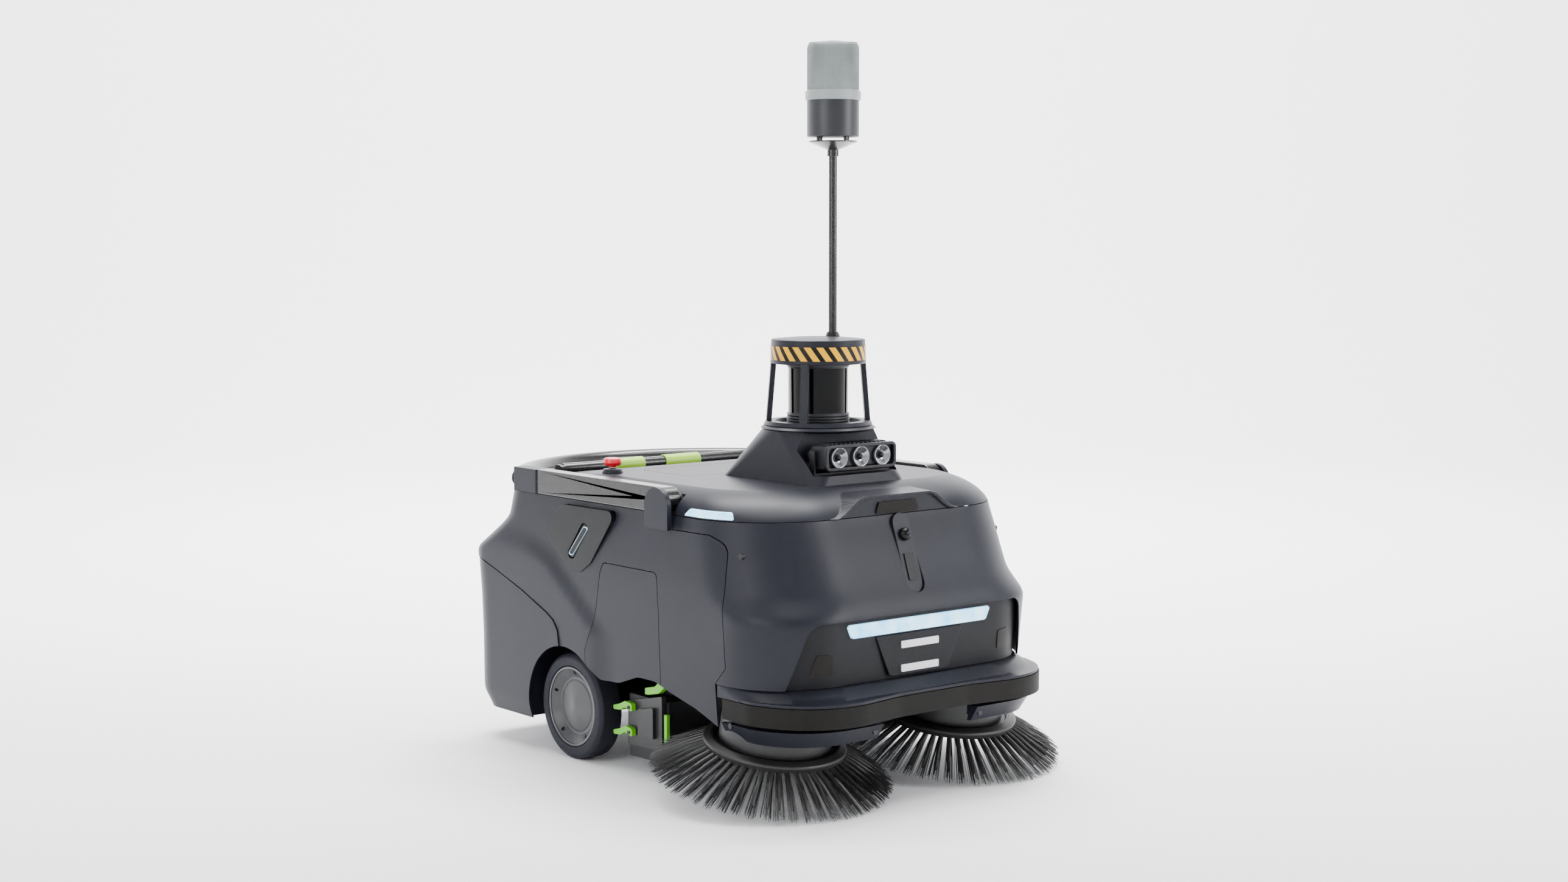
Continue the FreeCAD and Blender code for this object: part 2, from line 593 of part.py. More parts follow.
def make_tower_cage():
    """Cap on four slim legs that stands over the scanner."""
    low, top, r = size("cap_low"), size("cap_top"), size("cap_radius")
    foot = size("tower_z") + 6
    cap = turned([(0, low + 4), (60, low + 4), (70, low), (r + 1.5, low, 2), (r, top, 2), (40, top + 3),
                  (0, top + 4)])
    band_groove = turned([(r - 1.2, 653), (90, 653), (90, 675), (r - 1.2, 675)])
    legs = []
    for angle in (-123, -57, 57, 123):
        a = math.radians(angle - 90)
        out, side = V(math.cos(a), math.sin(a), 0), V(-math.sin(a), math.cos(a), 0)
        rings = []
        for z, radius in ((foot + 0.1, 79), (low + 1, 71)):
            mid = out * radius + V(0, 0, z)
            corners = [mid + side * s * 6 + out * o * 4 for s, o in ((-1, -1), (1, -1), (1, 1), (-1, 1))]
            rings.append(Part.makePolygon(corners + corners[:1]))
        leg = doc.addObject("Part::Feature", "leg")
        leg.Shape = Part.makeLoft(rings, True, True)
        legs.append(leg)
    ring = turned([(66, foot + 0.1), (86, foot + 0.1), (83, foot + 6), (68, foot + 6)])
    return keep(fuse(cut(cap, band_groove), ring, *legs), "tower_cage")


def make_lidar():
    r, low = size("lidar_radius"), size("lidar_low")
    base = [(r, low)]
    for k in range(4):
        z = low + 1 + 4.5 * k
        base += [(r + 1.5, z + 0.5), (r + 1.5, z + 3), (r, z + 3.5)]
    lower = turned([(0, low)] + base + [(r, low + 19), (0, low + 19)])
    upper = turned([(0, low + 89), (r - 0.5, low + 89), (r + 1.5, low + 92), (r + 1.5, low + 100), (0, low + 100)])
    keep(fuse(lower, rod(5, 70, (0, 0, low + 19)), upper), "lidar_housing")
    glass = turned([(r - 3, low + 19), (r - 0.5, low + 19), (r - 0.5, low + 89), (r - 3, low + 89)])
    keep(glass, "lidar_window")
    pin = 5 + size("running")
    keep(turned([(pin, low + 24), (34, low + 24), (34, low + 84), (pin, low + 84)]), "lidar_rotor")
    keep(turned([(size("cap_radius") - 1.1, 653.2), (size("cap_radius") + 1.4, 653.2),
                 (size("cap_radius") + 1.2, 674.8), (size("cap_radius") - 1.1, 674.8)]), "hazard_band")


def make_mast():
    x, r, z = size("mast_x"), size("beacon_radius"), size("beacon_z")
    start = size("cap_top") + 4.4
    boot = turned([(0, start - 1), (12, start - 1), (9, start + 6), (0, start + 6)], (x, 0, 0))
    flange = turned([(0, z - 24), (9, z - 24), (9, z - 14), (38, z - 2), (38, z), (0, z)], (x, 0, 0))
    studs = [rod(3, 6, (x + 30 * math.cos(k * math.pi / 2), 30 * math.sin(k * math.pi / 2), z)) for k in range(4)]
    keep(fuse(rod("sizes.mast_radius", z - 22 - start, (x, 0, start)), boot, flange, *studs), "beacon_mast")
    low = z + 63
    keep(turned([(0, z + 6), (r + 1, z + 6, 2), (r + 1, low), (0, low)], (x, 0, 0)), "beacon_base")
    lens = [(0, low), (r + 4, low, 1), (r + 4, low + 15, 2), (r, low + 15), (r - 1, low + 88, 8), (0, low + 94)]
    keep(turned(lens, (x, 0, 0)), "beacon_lens")


def make_lamp():
    """Work lamp on a stirrup, tilting about its side bolts."""
    y, z, half = size("lamp_y"), size("lamp_z"), size("lamp_half")
    body = slab([(y - 22, z - 17, 4), (y + 10, z - 14, 6), (y + 20, z + 4, 6), (y + 6, z + 18, 4), (y - 22, z + 18, 4)],
                "2 * sizes.lamp_half - 4", turn=YZ, middle=True)
    holes = [rod("4 + sizes.running", 16, (side * (half - 2 - 12), y, z), (side, 0, 0)) for side in (-1, 1)]
    fins = [box((-half + 12 + 9 * k, y - 16, z + 14), (4, 26, 7)) for k in range(14)]
    keep(cut(fuse(body, *fins), *holes), "work_lamp_body")
    rim = cut(slab([(-half, z - 20), (half, z - 20), (half, z + 20), (-half, z + 20)], 7, at=(0, y - 22, 0), turn=XZ,
                   radius=9),
              slab([(-half + 5, z - 15), (half - 5, z - 15), (half - 5, z + 15), (-half + 5, z + 15)], 20,
                   at=(0, y - 15, 0), turn=XZ, radius=5))
    keep(rim, "work_lamp_bezel")
    lens = [turned([(0, 0), (14.5, 0), (13, 3), (0, 6)], (x, y - 22, z), FreeCAD.Rotation(V(0, 0, 1), V(0, -1, 0)))
            for x in (-44, 0, 44)]
    keep(group(*lens), "work_lamp_lenses")
    arms = [box((side * (half + 2) - (3 if side < 0 else 0), y - 6, z - 27), (3, 12, 38)) for side in (-1, 1)]
    foot = box((-half - 5, y - 6, z - 27), (2 * half + 10, 12, 3))
    bolts = [rod(4, 14, (side * (half + 5), y, z), (-side, 0, 0)) for side in (-1, 1)]
    keep(fuse(*arms, foot, *bolts), "work_lamp_stirrup")


# ---------------------------------------------------------------- push handle
def make_handle():
    x, y, z = size("handle_x"), size("handle_y"), size("handle_z")
    wide, tall = size("rail_wide"), size("rail_tall")
    ears, rails, clamps = [], [], []
    for side in (-1, 1):
        start = side * (x + wide / 2 + 0.6)
        ear = slab([(5, 404, 1), (64, 404, 1), (64, 467, 29), (5, 467, 29)], 8,
                   at=(start if side > 0 else start - 8, 0, 0), turn=YZ)
        cheek = slab([(14, SEAM - 3, 1), (58, SEAM - 3, 1), (58, 460, 21), (14, 460, 21)], 5,
                     at=(side * (x - wide / 2 - 0.6) - (5 if side > 0 else 0), 0, 0), turn=YZ)
        pin = rod("sizes.pin_radius", wide + 12, (side * (x - wide / 2 - 4), y, z), (side, 0, 0))
        ears.append(fuse(ear, cheek, pin))
        rail = slab([(y - tall / 2, z - tall / 2, tall / 2 - 0.01), (436, z - tall / 2), (436, z + tall / 2),
                     (y - tall / 2, z + tall / 2, tall / 2 - 0.01)], "sizes.rail_wide",
                    at=(side * x - wide / 2, 0, 0), turn=YZ)
        bore = rod("sizes.pin_radius + sizes.running", 60, (side * x - 30, y, z), (1, 0, 0))
        rails.append(cut(rail, bore, box((side * x - wide / 2 - 1, 372, z - 40), (wide + 2, 100, 80))))
        clamps.append(slab([(side * x - 15, 372, 3), (side * x + 15, 372, 3), (side * x + 13, 440, 3),
                            (side * x - 15, 440, 3)], "sizes.rail_tall", at=(0, 0, z - tall / 2)))
    keep(group(*ears), "handle_ears")
    keep(group(*rails), "handle_rails")
    keep(group(*clamps), "handle_clamps")
    apex = size("bar_apex")
    path = Part.Wire([Part.Arc(V(-x + 1, 440, z), V(0, apex, z), V(x - 1, 440, z)).toShape()])
    start = path.Edges[0].tangentAt(path.Edges[0].FirstParameter)
    section = Part.makeCircle(size("bar_radius"), V(-x + 1, 440, z), start)
    bar = doc.addObject("Part::Feature", "bar")
    bar.Shape = Part.Wire(path).makePipeShell([Part.Wire(section)], True, True)
    rear = box((-400, 440.2, 300), (800, 400, 300))
    keep(common(bar, rear), "handle_rear_bar")


def make_lid_bar():
    """Bar across the rear of the deck with two grip clips, on its end posts."""
    y, z = 389, 462
    posts = [slab([(y - 10, 425), (y + 10, 425), (y + 10, z + 8, 7), (y - 10, z + 8, 7)], 8,
                  at=(x, 0, 0), turn=YZ) for x in (-232, 224)]
    deck = shell("deck_top", [(SEAM, 276, -184, 496, 140, 60), (DECK, 229, -108, 290, 110, 50)])
    keep(cut(fuse(*posts, rod(10, 448, (-224, y, z), (1, 0, 0))), deck), "lift_bar")
    clips = [cut(rod(12, 74, (x, y, z), (1, 0, 0)), rod(10.01, 80, (x - 3, y, z), (1, 0, 0)),
                 box((x - 5, y - 20, z - 20), (90, 40, 12))) for x in (-136, -18)]
    keep(group(*clips), "grip_clips")


# ---------------------------------------------------------------- controls and inner units
PANEL = [(347, 361, 15), (328, 400, 20), (300, 417, 15), (160, 418, 10), (163, 402, 8), (221, 330),
         (250, 312, 12), (280, 314, 12)]


def make_controls():
    panels = []
    pill = [(219, 392, 8), (243, 392, 8), (292, 332, 8), (268, 332, 8)]
    for side in (-1, 1):
        start = 279 if side > 0 else -285.5
        panel = slab(PANEL, 6.5, at=(start, 0, 0), turn=YZ)
        panels.append(cut(panel, slab(pill, 30, at=(side * 285 - 15, 0, 0), turn=YZ)) if side < 0 else panel)
    keep(group(*panels), "control_panels")
    small = [(222, 390, 7), (241, 390, 7), (289, 334, 7), (270, 334, 7)]
    keep(slab(small, 5, at=(-284.5, 0, 0), turn=YZ), "power_button")
    x, y = size("stop_x"), size("stop_y")
    keep(turned([(0, DECK + 9), (6, DECK + 9), (6, DECK + 13), (12, DECK + 12), (15, DECK + 16, 3),
                 (14, DECK + 24, 4), (0, DECK + 25)], (x, y, 0)), "stop_button")


def make_inner_units():
    keep(box((-120, 40, 200), (240, 150, 130)), "battery")
    keep(box((-110, -150, 240), (220, 110, 60)), "controller")
    fan = fuse(rod(70, 60, (0, 410, 324)), box((-110, 330, 324), (220, 150, 20)))
    keep(fan, "suction_fan")


def screw_rods():
    """Button-head screws beside the handle pivots, at the bumper's ends and under its lobes."""
    screws = []
    for side in (-1, 1):
        direction = (side, 0, 0)
        for y, z, reach, length in ((-133, 377, 251, 12), (-122, 124, 267.5, 6.5)):
            screws.append(rod("sizes.screw_radius", length, (side * reach, y, z), direction))
    for x in (-108, 108):
        screws.append(rod("sizes.screw_radius", 10, (x, -250, 116), (0, -1, 0)))
    return screws


make_front_cover()
make_main_cover()
make_side_door(-1, "side_door_left")
make_side_door(1, "side_door_right")
make_dust_bin()
make_top_cover()
make_front_panel()
make_strips()
make_windows()
make_lights()
make_camera()
make_bumper()
make_front_skirt()
make_base_frame()
make_axles()
make_brush_drives()
make_roller()
make_roller_housing()
make_cassette_ends()
for side, name in ((-1, "left"), (1, "right")):
    make_wheel(side, name)
    make_side_brush(side, name)
make_caster()
make_pedestal()
make_tower_cage()
make_lidar()
make_mast()
make_lamp()
make_handle()
make_lid_bar()
make_controls()
make_inner_units()
keep(group(*screw_rods()), "casing_screws")

doc.recompute()
faults = [o.Label for o in doc.Objects if "Invalid" in o.State or "Error" in o.State]
faults += [o.Label for o in parts if o.Shape.isNull() or not o.Shape.isValid() or not o.Shape.Solids]
if faults:
    raise SystemExit("failed objects: " + ", ".join(faults))
os.makedirs("parts", exist_ok=True)
for old in os.listdir("parts"):
    if old.endswith(".step") and old[:-5] not in [o.Label for o in parts]:
        os.remove(os.path.join("parts", old))
for part in parts:
    part.Shape.exportStep(os.path.join("parts", part.Label + ".step"))
    print("%-28s solids %2d volume %10.0f" % (part.Label, len(part.Shape.Solids), part.Shape.Volume))
print(len(parts), "sub-parts")
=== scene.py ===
import json
import math
import random

import bmesh
import bpy
import numpy as np
from mathutils import Matrix, Vector


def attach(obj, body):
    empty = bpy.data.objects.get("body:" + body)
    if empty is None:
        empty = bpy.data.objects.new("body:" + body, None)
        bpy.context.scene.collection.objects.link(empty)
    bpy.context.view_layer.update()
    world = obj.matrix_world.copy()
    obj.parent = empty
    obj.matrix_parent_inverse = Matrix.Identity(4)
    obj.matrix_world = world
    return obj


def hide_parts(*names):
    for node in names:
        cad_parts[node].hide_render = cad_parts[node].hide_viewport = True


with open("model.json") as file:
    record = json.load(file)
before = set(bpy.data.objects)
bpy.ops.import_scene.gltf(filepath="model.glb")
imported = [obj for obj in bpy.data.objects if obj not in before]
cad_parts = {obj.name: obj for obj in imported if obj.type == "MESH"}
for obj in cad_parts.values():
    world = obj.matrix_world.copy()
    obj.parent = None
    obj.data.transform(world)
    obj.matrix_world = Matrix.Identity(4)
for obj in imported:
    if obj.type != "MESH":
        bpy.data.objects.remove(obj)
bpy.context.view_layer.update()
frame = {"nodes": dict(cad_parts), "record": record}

random.seed(7)
scene = bpy.context.scene
nodes = frame["nodes"]
MM = 0.001

# Places of the machine in millimetres, with Y measured from the tower's axis as in the drawing.
SHIFT_Y = -161.0
SEAM, DECK = 426.0, 466.0
BRUSH = {"left": -180.0, "right": 180.0}
BRUSH_Y, BRUSH_Z, BRUSH_TILT = -103.0, 34.0, math.radians(10)
WHEEL_Y, WHEEL_Z, ARCH = 296.0, 86.0, 100.0
HUB_FACE = 274.0
ROLLER_Y, ROLLER_Z, ROLLER_HALF = 130.0, 50.0, 214.0
LAMP_FRONT, LAMP_Z, LAMP_PITCH = -98.5, 507.0, 44.0
BEACON_X = 30.0
SIDE_SLAB = (240.0, 330.0)
BEYOND = 400.0


def to_world(points):
    """Drawing frame in millimetres to the row frame in metres."""
    p = np.asarray(points, float).copy()
    p[..., 1] += SHIFT_Y
    return p * MM


# ------------------------------------------------------------------ materials
def new_material(name):
    mat = bpy.data.materials.new(name)
    mat.use_nodes = True
    tree = mat.node_tree
    return mat, tree, tree.nodes["Principled BSDF"]


def link(tree, out, inp):
    tree.links.new(out, inp)


def noise(tree, scale, detail=3.0, stretch=None):
    """Noise in the object's own coordinates, stretched where a brushed look needs it."""
    coord = tree.nodes.new("ShaderNodeTexCoord")
    source = coord.outputs["Object"]
    if stretch:
        mapping = tree.nodes.new("ShaderNodeMapping")
        mapping.inputs["Scale"].default_value = stretch
        link(tree, source, mapping.inputs["Vector"])
        source = mapping.outputs["Vector"]
    tex = tree.nodes.new("ShaderNodeTexNoise")
    tex.inputs["Scale"].default_value = scale
    tex.inputs["Detail"].default_value = detail
    link(tree, source, tex.inputs["Vector"])
    return tex.outputs["Fac"]


def spread(tree, fac, low, high):
    """Noise mapped between two numbers or two colours."""
    if isinstance(low, (int, float)):
        node = tree.nodes.new("ShaderNodeMapRange")
        node.inputs["From Min"].default_value = 0.3
        node.inputs["From Max"].default_value = 0.7
        node.inputs["To Min"].default_value = low
        node.inputs["To Max"].default_value = high
        link(tree, fac, node.inputs["Value"])
        return node.outputs["Result"]
    ramp = tree.nodes.new("ShaderNodeValToRGB")
    ramp.color_ramp.elements[0].position = 0.3
    ramp.color_ramp.elements[1].position = 0.7
    ramp.color_ramp.elements[0].color = (*low, 1)
    ramp.color_ramp.elements[1].color = (*high, 1)
    link(tree, fac, ramp.inputs["Fac"])
    return ramp.outputs["Color"]


def bump(tree, shader, fac, strength, distance=0.001):
    node = tree.nodes.new("ShaderNodeBump")
    node.inputs["Strength"].default_value = strength
    node.inputs["Distance"].default_value = distance
    link(tree, fac, node.inputs["Height"])
    link(tree, node.outputs["Normal"], shader.inputs["Normal"])


def surface(name, colour, rough=0.45, metal=0.0, grain=900.0, grain_depth=0.08, vary=0.18, coat=0.0,
            stretch=None, shine=0.5):
    """Moulded or coated surface: mottled colour, uneven gloss and a fine grain."""
    mat, tree, shader = new_material(name)
    shader.inputs["Metallic"].default_value = metal
    shader.inputs["Coat Weight"].default_value = coat
    shader.inputs["Specular IOR Level"].default_value = shine
    broad = noise(tree, 6.0, 4.0)
    fine = noise(tree, grain, 2.0, stretch=stretch)
    low = [c * (1 - vary) for c in colour]
    high = [min(c * (1 + vary), 1) for c in colour]
    link(tree, spread(tree, broad, low, high), shader.inputs["Base Color"])
    link(tree, spread(tree, fine, rough * 0.9, min(rough * 1.12, 1)), shader.inputs["Roughness"])
    bump(tree, shader, fine, grain_depth, 0.0004)
    return mat


def glow(name, colour, strength, edge):
    """Lit diffuser: the bright colour, tinted deeper where the noise thins it."""
    mat, tree, shader = new_material(name)
    fac = noise(tree, 30.0, 2.0)
    tint = spread(tree, fac, edge, colour)
    link(tree, tint, shader.inputs["Emission Color"])
    link(tree, tint, shader.inputs["Base Color"])
    shader.inputs["Emission Strength"].default_value = strength
    shader.inputs["Roughness"].default_value = 0.3
    return mat


def stripes(name):
    """Slanted yellow and black bands round the tower's cap."""
    mat, tree, shader = new_material(name)
    coord = tree.nodes.new("ShaderNodeTexCoord")
    parts_xyz = tree.nodes.new("ShaderNodeSeparateXYZ")
    link(tree, coord.outputs["Object"], parts_xyz.inputs["Vector"])

    def maths(kind, a, b=0.0):
        node = tree.nodes.new("ShaderNodeMath")
        node.operation = kind
        for socket, value in zip(node.inputs, (a, b)):
            if isinstance(value, (int, float)):
                socket.default_value = value
            else:
                link(tree, value, socket)
        return node.outputs[0]

    y = maths("SUBTRACT", parts_xyz.outputs["Y"], SHIFT_Y * MM)
    angle = maths("ARCTAN2", y, parts_xyz.outputs["X"])
    turn = maths("MULTIPLY", angle, 24 / (2 * math.pi))
    lean = maths("MULTIPLY", parts_xyz.outputs["Z"], 36.0)
    wave = maths("FRACT", maths("ADD", turn, lean))
    mask = maths("GREATER_THAN", wave, 0.44)
    mix = tree.nodes.new("ShaderNodeMix")
    mix.data_type = "RGBA"
    mix.inputs["A"].default_value = (0.004, 0.004, 0.004, 1)
    mix.inputs["B"].default_value = (0.80, 0.40, 0.0, 1)
    shader.inputs["Specular IOR Level"].default_value = 0.2
    link(tree, mask, mix.inputs["Factor"])
    link(tree, mix.outputs["Result"], shader.inputs["Base Color"])
    link(tree, spread(tree, noise(tree, 60.0), 0.3, 0.42), shader.inputs["Roughness"])
    return mat


def ribbed(name, colour, rough, count, depth):
    """Vertical prisms round an upright axis, as in a beacon's lens."""
    mat, tree, shader = new_material(name)
    coord = tree.nodes.new("ShaderNodeTexCoord")
    wave = tree.nodes.new("ShaderNodeTexWave")
    wave.wave_type = "BANDS"
    wave.bands_direction = "Z"
    wave.inputs["Scale"].default_value = count
    link(tree, coord.outputs["Object"], wave.inputs["Vector"])
    bump(tree, shader, wave.outputs["Fac"], depth, 0.001)
    fac = noise(tree, 25.0)
    link(tree, spread(tree, fac, [c * 0.85 for c in colour], colour), shader.inputs["Base Color"])
    shader.inputs["Roughness"].default_value = rough
    shader.inputs["Transmission Weight"].default_value = 0.2
    return mat


M = {
    "body_plastic": surface("body_plastic", (0.0095, 0.0100, 0.0165), 0.42, vary=0.10, shine=0.24),
    "panel_plastic": surface("panel_plastic", (0.0040, 0.0042, 0.0062), 0.50, grain=500,
                             grain_depth=0.12, shine=0.22),
    "bumper_rubber": surface("bumper_rubber", (0.0085, 0.0080, 0.0072), 0.60, grain=700,
                             grain_depth=0.2, shine=0.12),
    "black_tube": surface("black_tube", (0.006, 0.006, 0.006), 0.28, coat=0.2),
    "frame_steel": surface("frame_steel", (0.012, 0.012, 0.014), 0.45, 0.3),
    "tyre_rubber": surface("tyre_rubber", (0.0130, 0.0135, 0.0205), 0.60, grain=400,
                           grain_depth=0.25, shine=0.2),
    "hub_metal": surface("hub_metal", (0.11, 0.11, 0.115), 0.36, 1.0, grain=260, stretch=(8, 1, 1)),
    "hub_dark": surface("hub_dark", (0.026, 0.027, 0.030), 0.34),
    "brush_plastic": surface("brush_plastic", (0.011, 0.011, 0.0115), 0.45, grain_depth=0.12),
    "bristle": surface("bristle", (0.014, 0.014, 0.014), 0.42, grain=700, vary=0.85),
    "green_plastic": surface("green_plastic", (0.13, 0.52, 0.008), 0.38, vary=0.08),
    "lime_plastic": surface("lime_plastic", (0.33, 0.60, 0.03), 0.38, vary=0.06),
    "red_plastic": surface("red_plastic", (0.85, 0.006, 0.02), 0.3, vary=0.06, coat=0.3),
    "hazard_tape": stripes("hazard_tape"),
    "light_plastic": glow("light_plastic", (0.55, 0.88, 1.0), 1.7, (0.14, 0.56, 0.95)),
    "reflector": surface("reflector", (0.75, 0.75, 0.77), 0.25, grain=1500, grain_depth=0.3, vary=0.05),
    "sensor_window": surface("sensor_window", (0.0100, 0.0085, 0.0072), 0.32, vary=0.1, shine=0.12),
    "gloss_black": surface("gloss_black", (0.0040, 0.0048, 0.0054), 0.22, grain_depth=0.01, shine=0.2),
    "lidar_glass": surface("lidar_glass", (0.0015, 0.0015, 0.0015), 0.05, grain_depth=0.0, shine=0.3),
    "lidar_plastic": surface("lidar_plastic", (0.014, 0.0145, 0.018), 0.4),
    "lens_clear": ribbed("lens_clear", (0.34, 0.38, 0.375), 0.28, 90.0, 0.4),
    "lamp_metal": surface("lamp_metal", (0.016, 0.0165, 0.021), 0.45, 0.4, grain_depth=0.2),
    "lamp_lens": surface("lamp_lens", (0.26, 0.27, 0.28), 0.12, 0.8, grain=140, grain_depth=0.2, coat=1.0),
    "steel": surface("steel", (0.30, 0.30, 0.32), 0.33, 0.9, grain=400, stretch=(1, 1, 0.1)),
    "cell_case": surface("cell_case", (0.05, 0.07, 0.09), 0.5),
}


def dress(obj, slot_name, material=None):
    """Give a piece its slot's material, or another look by name."""
    mat = M[material or slot_name]
    if obj.data.materials:
        for i in range(len(obj.data.materials)):
            obj.data.materials[i] = mat
    else:
        obj.data.materials.append(mat)


def soften(obj, width=0.8, angle=32):
    """Small rounded edges that catch the light, and smooth faces between them."""
    weld = obj.modifiers.new("weld", "WELD")
    weld.merge_threshold = 1e-5
    edge = obj.modifiers.new("edges", "BEVEL")
    edge.width = width * MM
    edge.segments = 2
    edge.limit_method = "ANGLE"
    edge.angle_limit = math.radians(angle)
    edge.harden_normals = False
    edge.use_clamp_overlap = True
    for poly in obj.data.polygons:
        poly.use_smooth = True
    tidy = obj.modifiers.new("normals", "WEIGHTED_NORMAL")
    tidy.keep_sharp = True
    tidy.weight = 60


slots = {row["node"]: row["material_slot"] for row in frame["record"]["subparts"]}
for name, obj in nodes.items():
    dress(obj, slots[name])


# ------------------------------------------------------------------ mesh helpers
def face_outward(mesh):
    """Turn all faces of a closed mesh outward."""
    work = bmesh.new()
    work.from_mesh(mesh)
    bmesh.ops.recalc_face_normals(work, faces=work.faces)
    work.to_mesh(mesh)
    work.free()


def make_object(name, verts, faces, material, body, replaces=()):
    """Visible piece that rides on a body and, where named, stands in for CAD nodes."""
    mesh = bpy.data.meshes.new(name)
    mesh.from_pydata([tuple(v) for v in verts], [], faces)
    face_outward(mesh)
    obj = bpy.data.objects.new(name, mesh)
    scene.collection.objects.link(obj)
    mesh.materials.append(M[material])
    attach(obj, body)
    if replaces:
        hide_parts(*replaces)
    return obj


def rounded(points, segments=5):
    """Polygon corners (a, b, radius) turned into an outline with arcs."""
    out = []
    count = len(points)
    for i, point in enumerate(points):
        here = np.array(point[:2], float)
        radius = point[2] if len(point) > 2 else 0.0
        if radius <= 0:
            out.append(here)
            continue
        back = np.array(points[i - 1][:2], float) - here
        ahead = np.array(points[(i + 1) % count][:2], float) - here
        reach_max = 0.49 * min(np.linalg.norm(back), np.linalg.norm(ahead))
        back /= np.linalg.norm(back)
        ahead /= np.linalg.norm(ahead)
        half = math.acos(max(-1, min(1, float(back @ ahead)))) / 2
        radius = min(radius, reach_max * math.tan(half))
        centre = here + (back + ahead) / np.linalg.norm(back + ahead) * radius / math.sin(half)
        start = here + back * radius / math.tan(half) - centre
        end = here + ahead * radius / math.tan(half) - centre
        turn = math.atan2(start[0] * end[1] - start[1] * end[0], float(start @ end))
        for k in range(segments + 1):
            a = turn * k / segments
            out.append(centre + np.array([start[0] * math.cos(a) - start[1] * math.sin(a),
                                          start[0] * math.sin(a) + start[1] * math.cos(a)]))
    return out


def prism(points, low, high, axis="x", segments=5):
    """Closed prism along X from (y, z) points, along Y from (x, z) or along Z from (x, y)."""
    ring = rounded(points, segments)
    count = len(ring)
    if axis == "x":
        verts = [(low, a, b) for a, b in ring] + [(high, a, b) for a, b in ring]
    elif axis == "y":
        verts = [(a, low, b) for a, b in ring] + [(a, high, b) for a, b in ring]
    else:
        verts = [(a, b, low) for a, b in ring] + [(a, b, high) for a, b in ring]
    faces = [tuple(range(count)), tuple(range(2 * count - 1, count - 1, -1))]
    faces += [(i, i + count, (i + 1) % count + count, (i + 1) % count) for i in range(count)]
    mesh = bpy.data.meshes.new("prism")
    mesh.from_pydata([tuple(v) for v in to_world(verts)], [], faces)
    face_outward(mesh)
    obj = bpy.data.objects.new("prism", mesh)
    scene.collection.objects.link(obj)
    return obj


def slab(name, points, low, high, segments, material, replaces=()):
    """Flat piece on the front of the body: a prism along Y that rides on the chassis."""
    obj = prism(points, low, high, "y", segments)
    obj.name = name
    obj.data.materials.append(M[material])
    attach(obj, "chassis")
    if replaces:
        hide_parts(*replaces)
    return obj


def boolean(obj, tool, operation):
    """Cut or keep with a tool, which is then removed."""
    mod = obj.modifiers.new("cut", "BOOLEAN")
    mod.object = tool
    mod.operation = operation
    mod.solver = "EXACT"
    apply_modifiers(obj)
    bpy.data.objects.remove(tool, do_unlink=True)


def apply_modifiers(obj):
    graph = bpy.context.evaluated_depsgraph_get()
    graph.update()
    mesh = bpy.data.meshes.new_from_object(obj.evaluated_get(graph))
    obj.modifiers.clear()
    obj.data = mesh


def smooth_table(table, heights, reach):
    """Columns of a table over height, interpolated and eased over a short reach."""
    table = np.array(table, float)
    columns = []
    fine = np.linspace(table[0, 0] - 30, table[-1, 0] + 30, 400)
    step = fine[1] - fine[0]
    kernel = np.exp(-0.5 * (np.arange(-40, 41) * step / reach) ** 2)
    kernel /= kernel.sum()
    for k in range(1, table.shape[1]):
        raw = np.interp(fine, table[:, 0], table[:, k])
        eased = np.convolve(np.pad(raw, 40, mode="edge"), kernel, mode="valid")
        columns.append(np.interp(heights, fine, eased))
    return np.array(columns).T


def plan(half, front, rear, front_round, rear_round, corner=14, side=40, nose=12):
    """One plan outline of the body as points, always the same count."""
    out = []

    def line(a, b, n):
        for k in range(n):
            out.append((a[0] + (b[0] - a[0]) * k / n, a[1] + (b[1] - a[1]) * k / n))

    def arc(cx, cy, r, start, n):
        for k in range(n):
            a = math.radians(start + 90 * k / n)
            out.append((cx + r * math.cos(a), cy + r * math.sin(a)))

    f, b = front_round, rear_round
    line((-half + f, front), (half - f, front), nose)
    arc(half - f, front + f, f, -90, corner)
    line((half, front + f), (half, rear - b), side)
    arc(half - b, rear - b, b, 0, corner)
    line((half - b, rear), (-half + b, rear), nose)
    arc(-half + b, rear - b, b, 90, corner)
    line((-half, rear - b), (-half, front + f), side)
    arc(-half + f, front + f, f, 180, corner)
    return np.array(out)


# Body outline by height: height, half width, front, rear, front corner radius, rear corner radius.
UPPER = [(118, 281, -226, 583, 122, 60), (182, 282, -240, 583, 126, 60), (286, 284, -247, 587, 120, 60),
         (304, 284, -240, 590, 142, 60), (321, 284, -231, 592, 156, 60), (342, 283, -221, 556, 154, 60),
         (382, 280, -204, 505, 148, 60), (426, 276, -184, 496, 140, 60)]
UNDER = [(54, 280, 300, 546, 5, 50), (80, 284, 300, 575, 5, 60), (176, 284, 300, 576, 5, 60),
         (245, 284, 300, 580, 5, 60), (304, 284, 300, 587, 5, 60)]

ROW_HEIGHT = 5.0
FENDER_SWELL = 5.0


def fender(points, height):
    """Rear wheel fender: the side swells below a crease that falls from the rear shoulder."""
    y = points[:, 1]
    crease = np.interp(y, [197, 260, 340, 400, 520], [235, 285, 342, 362, 372])
    below = np.clip((crease - height) / 34.0, 0, 1)
    ahead = np.clip((y - 170) / 60.0, 0, 1)
    swell = FENDER_SWELL * below * below * (3 - 2 * below) * ahead * ahead * (3 - 2 * ahead)
    side = np.clip((np.abs(points[:, 0]) - 200) / 60, 0, 1)
    out = points.copy()
    out[:, 0] += np.sign(points[:, 0]) * swell * side
    return out


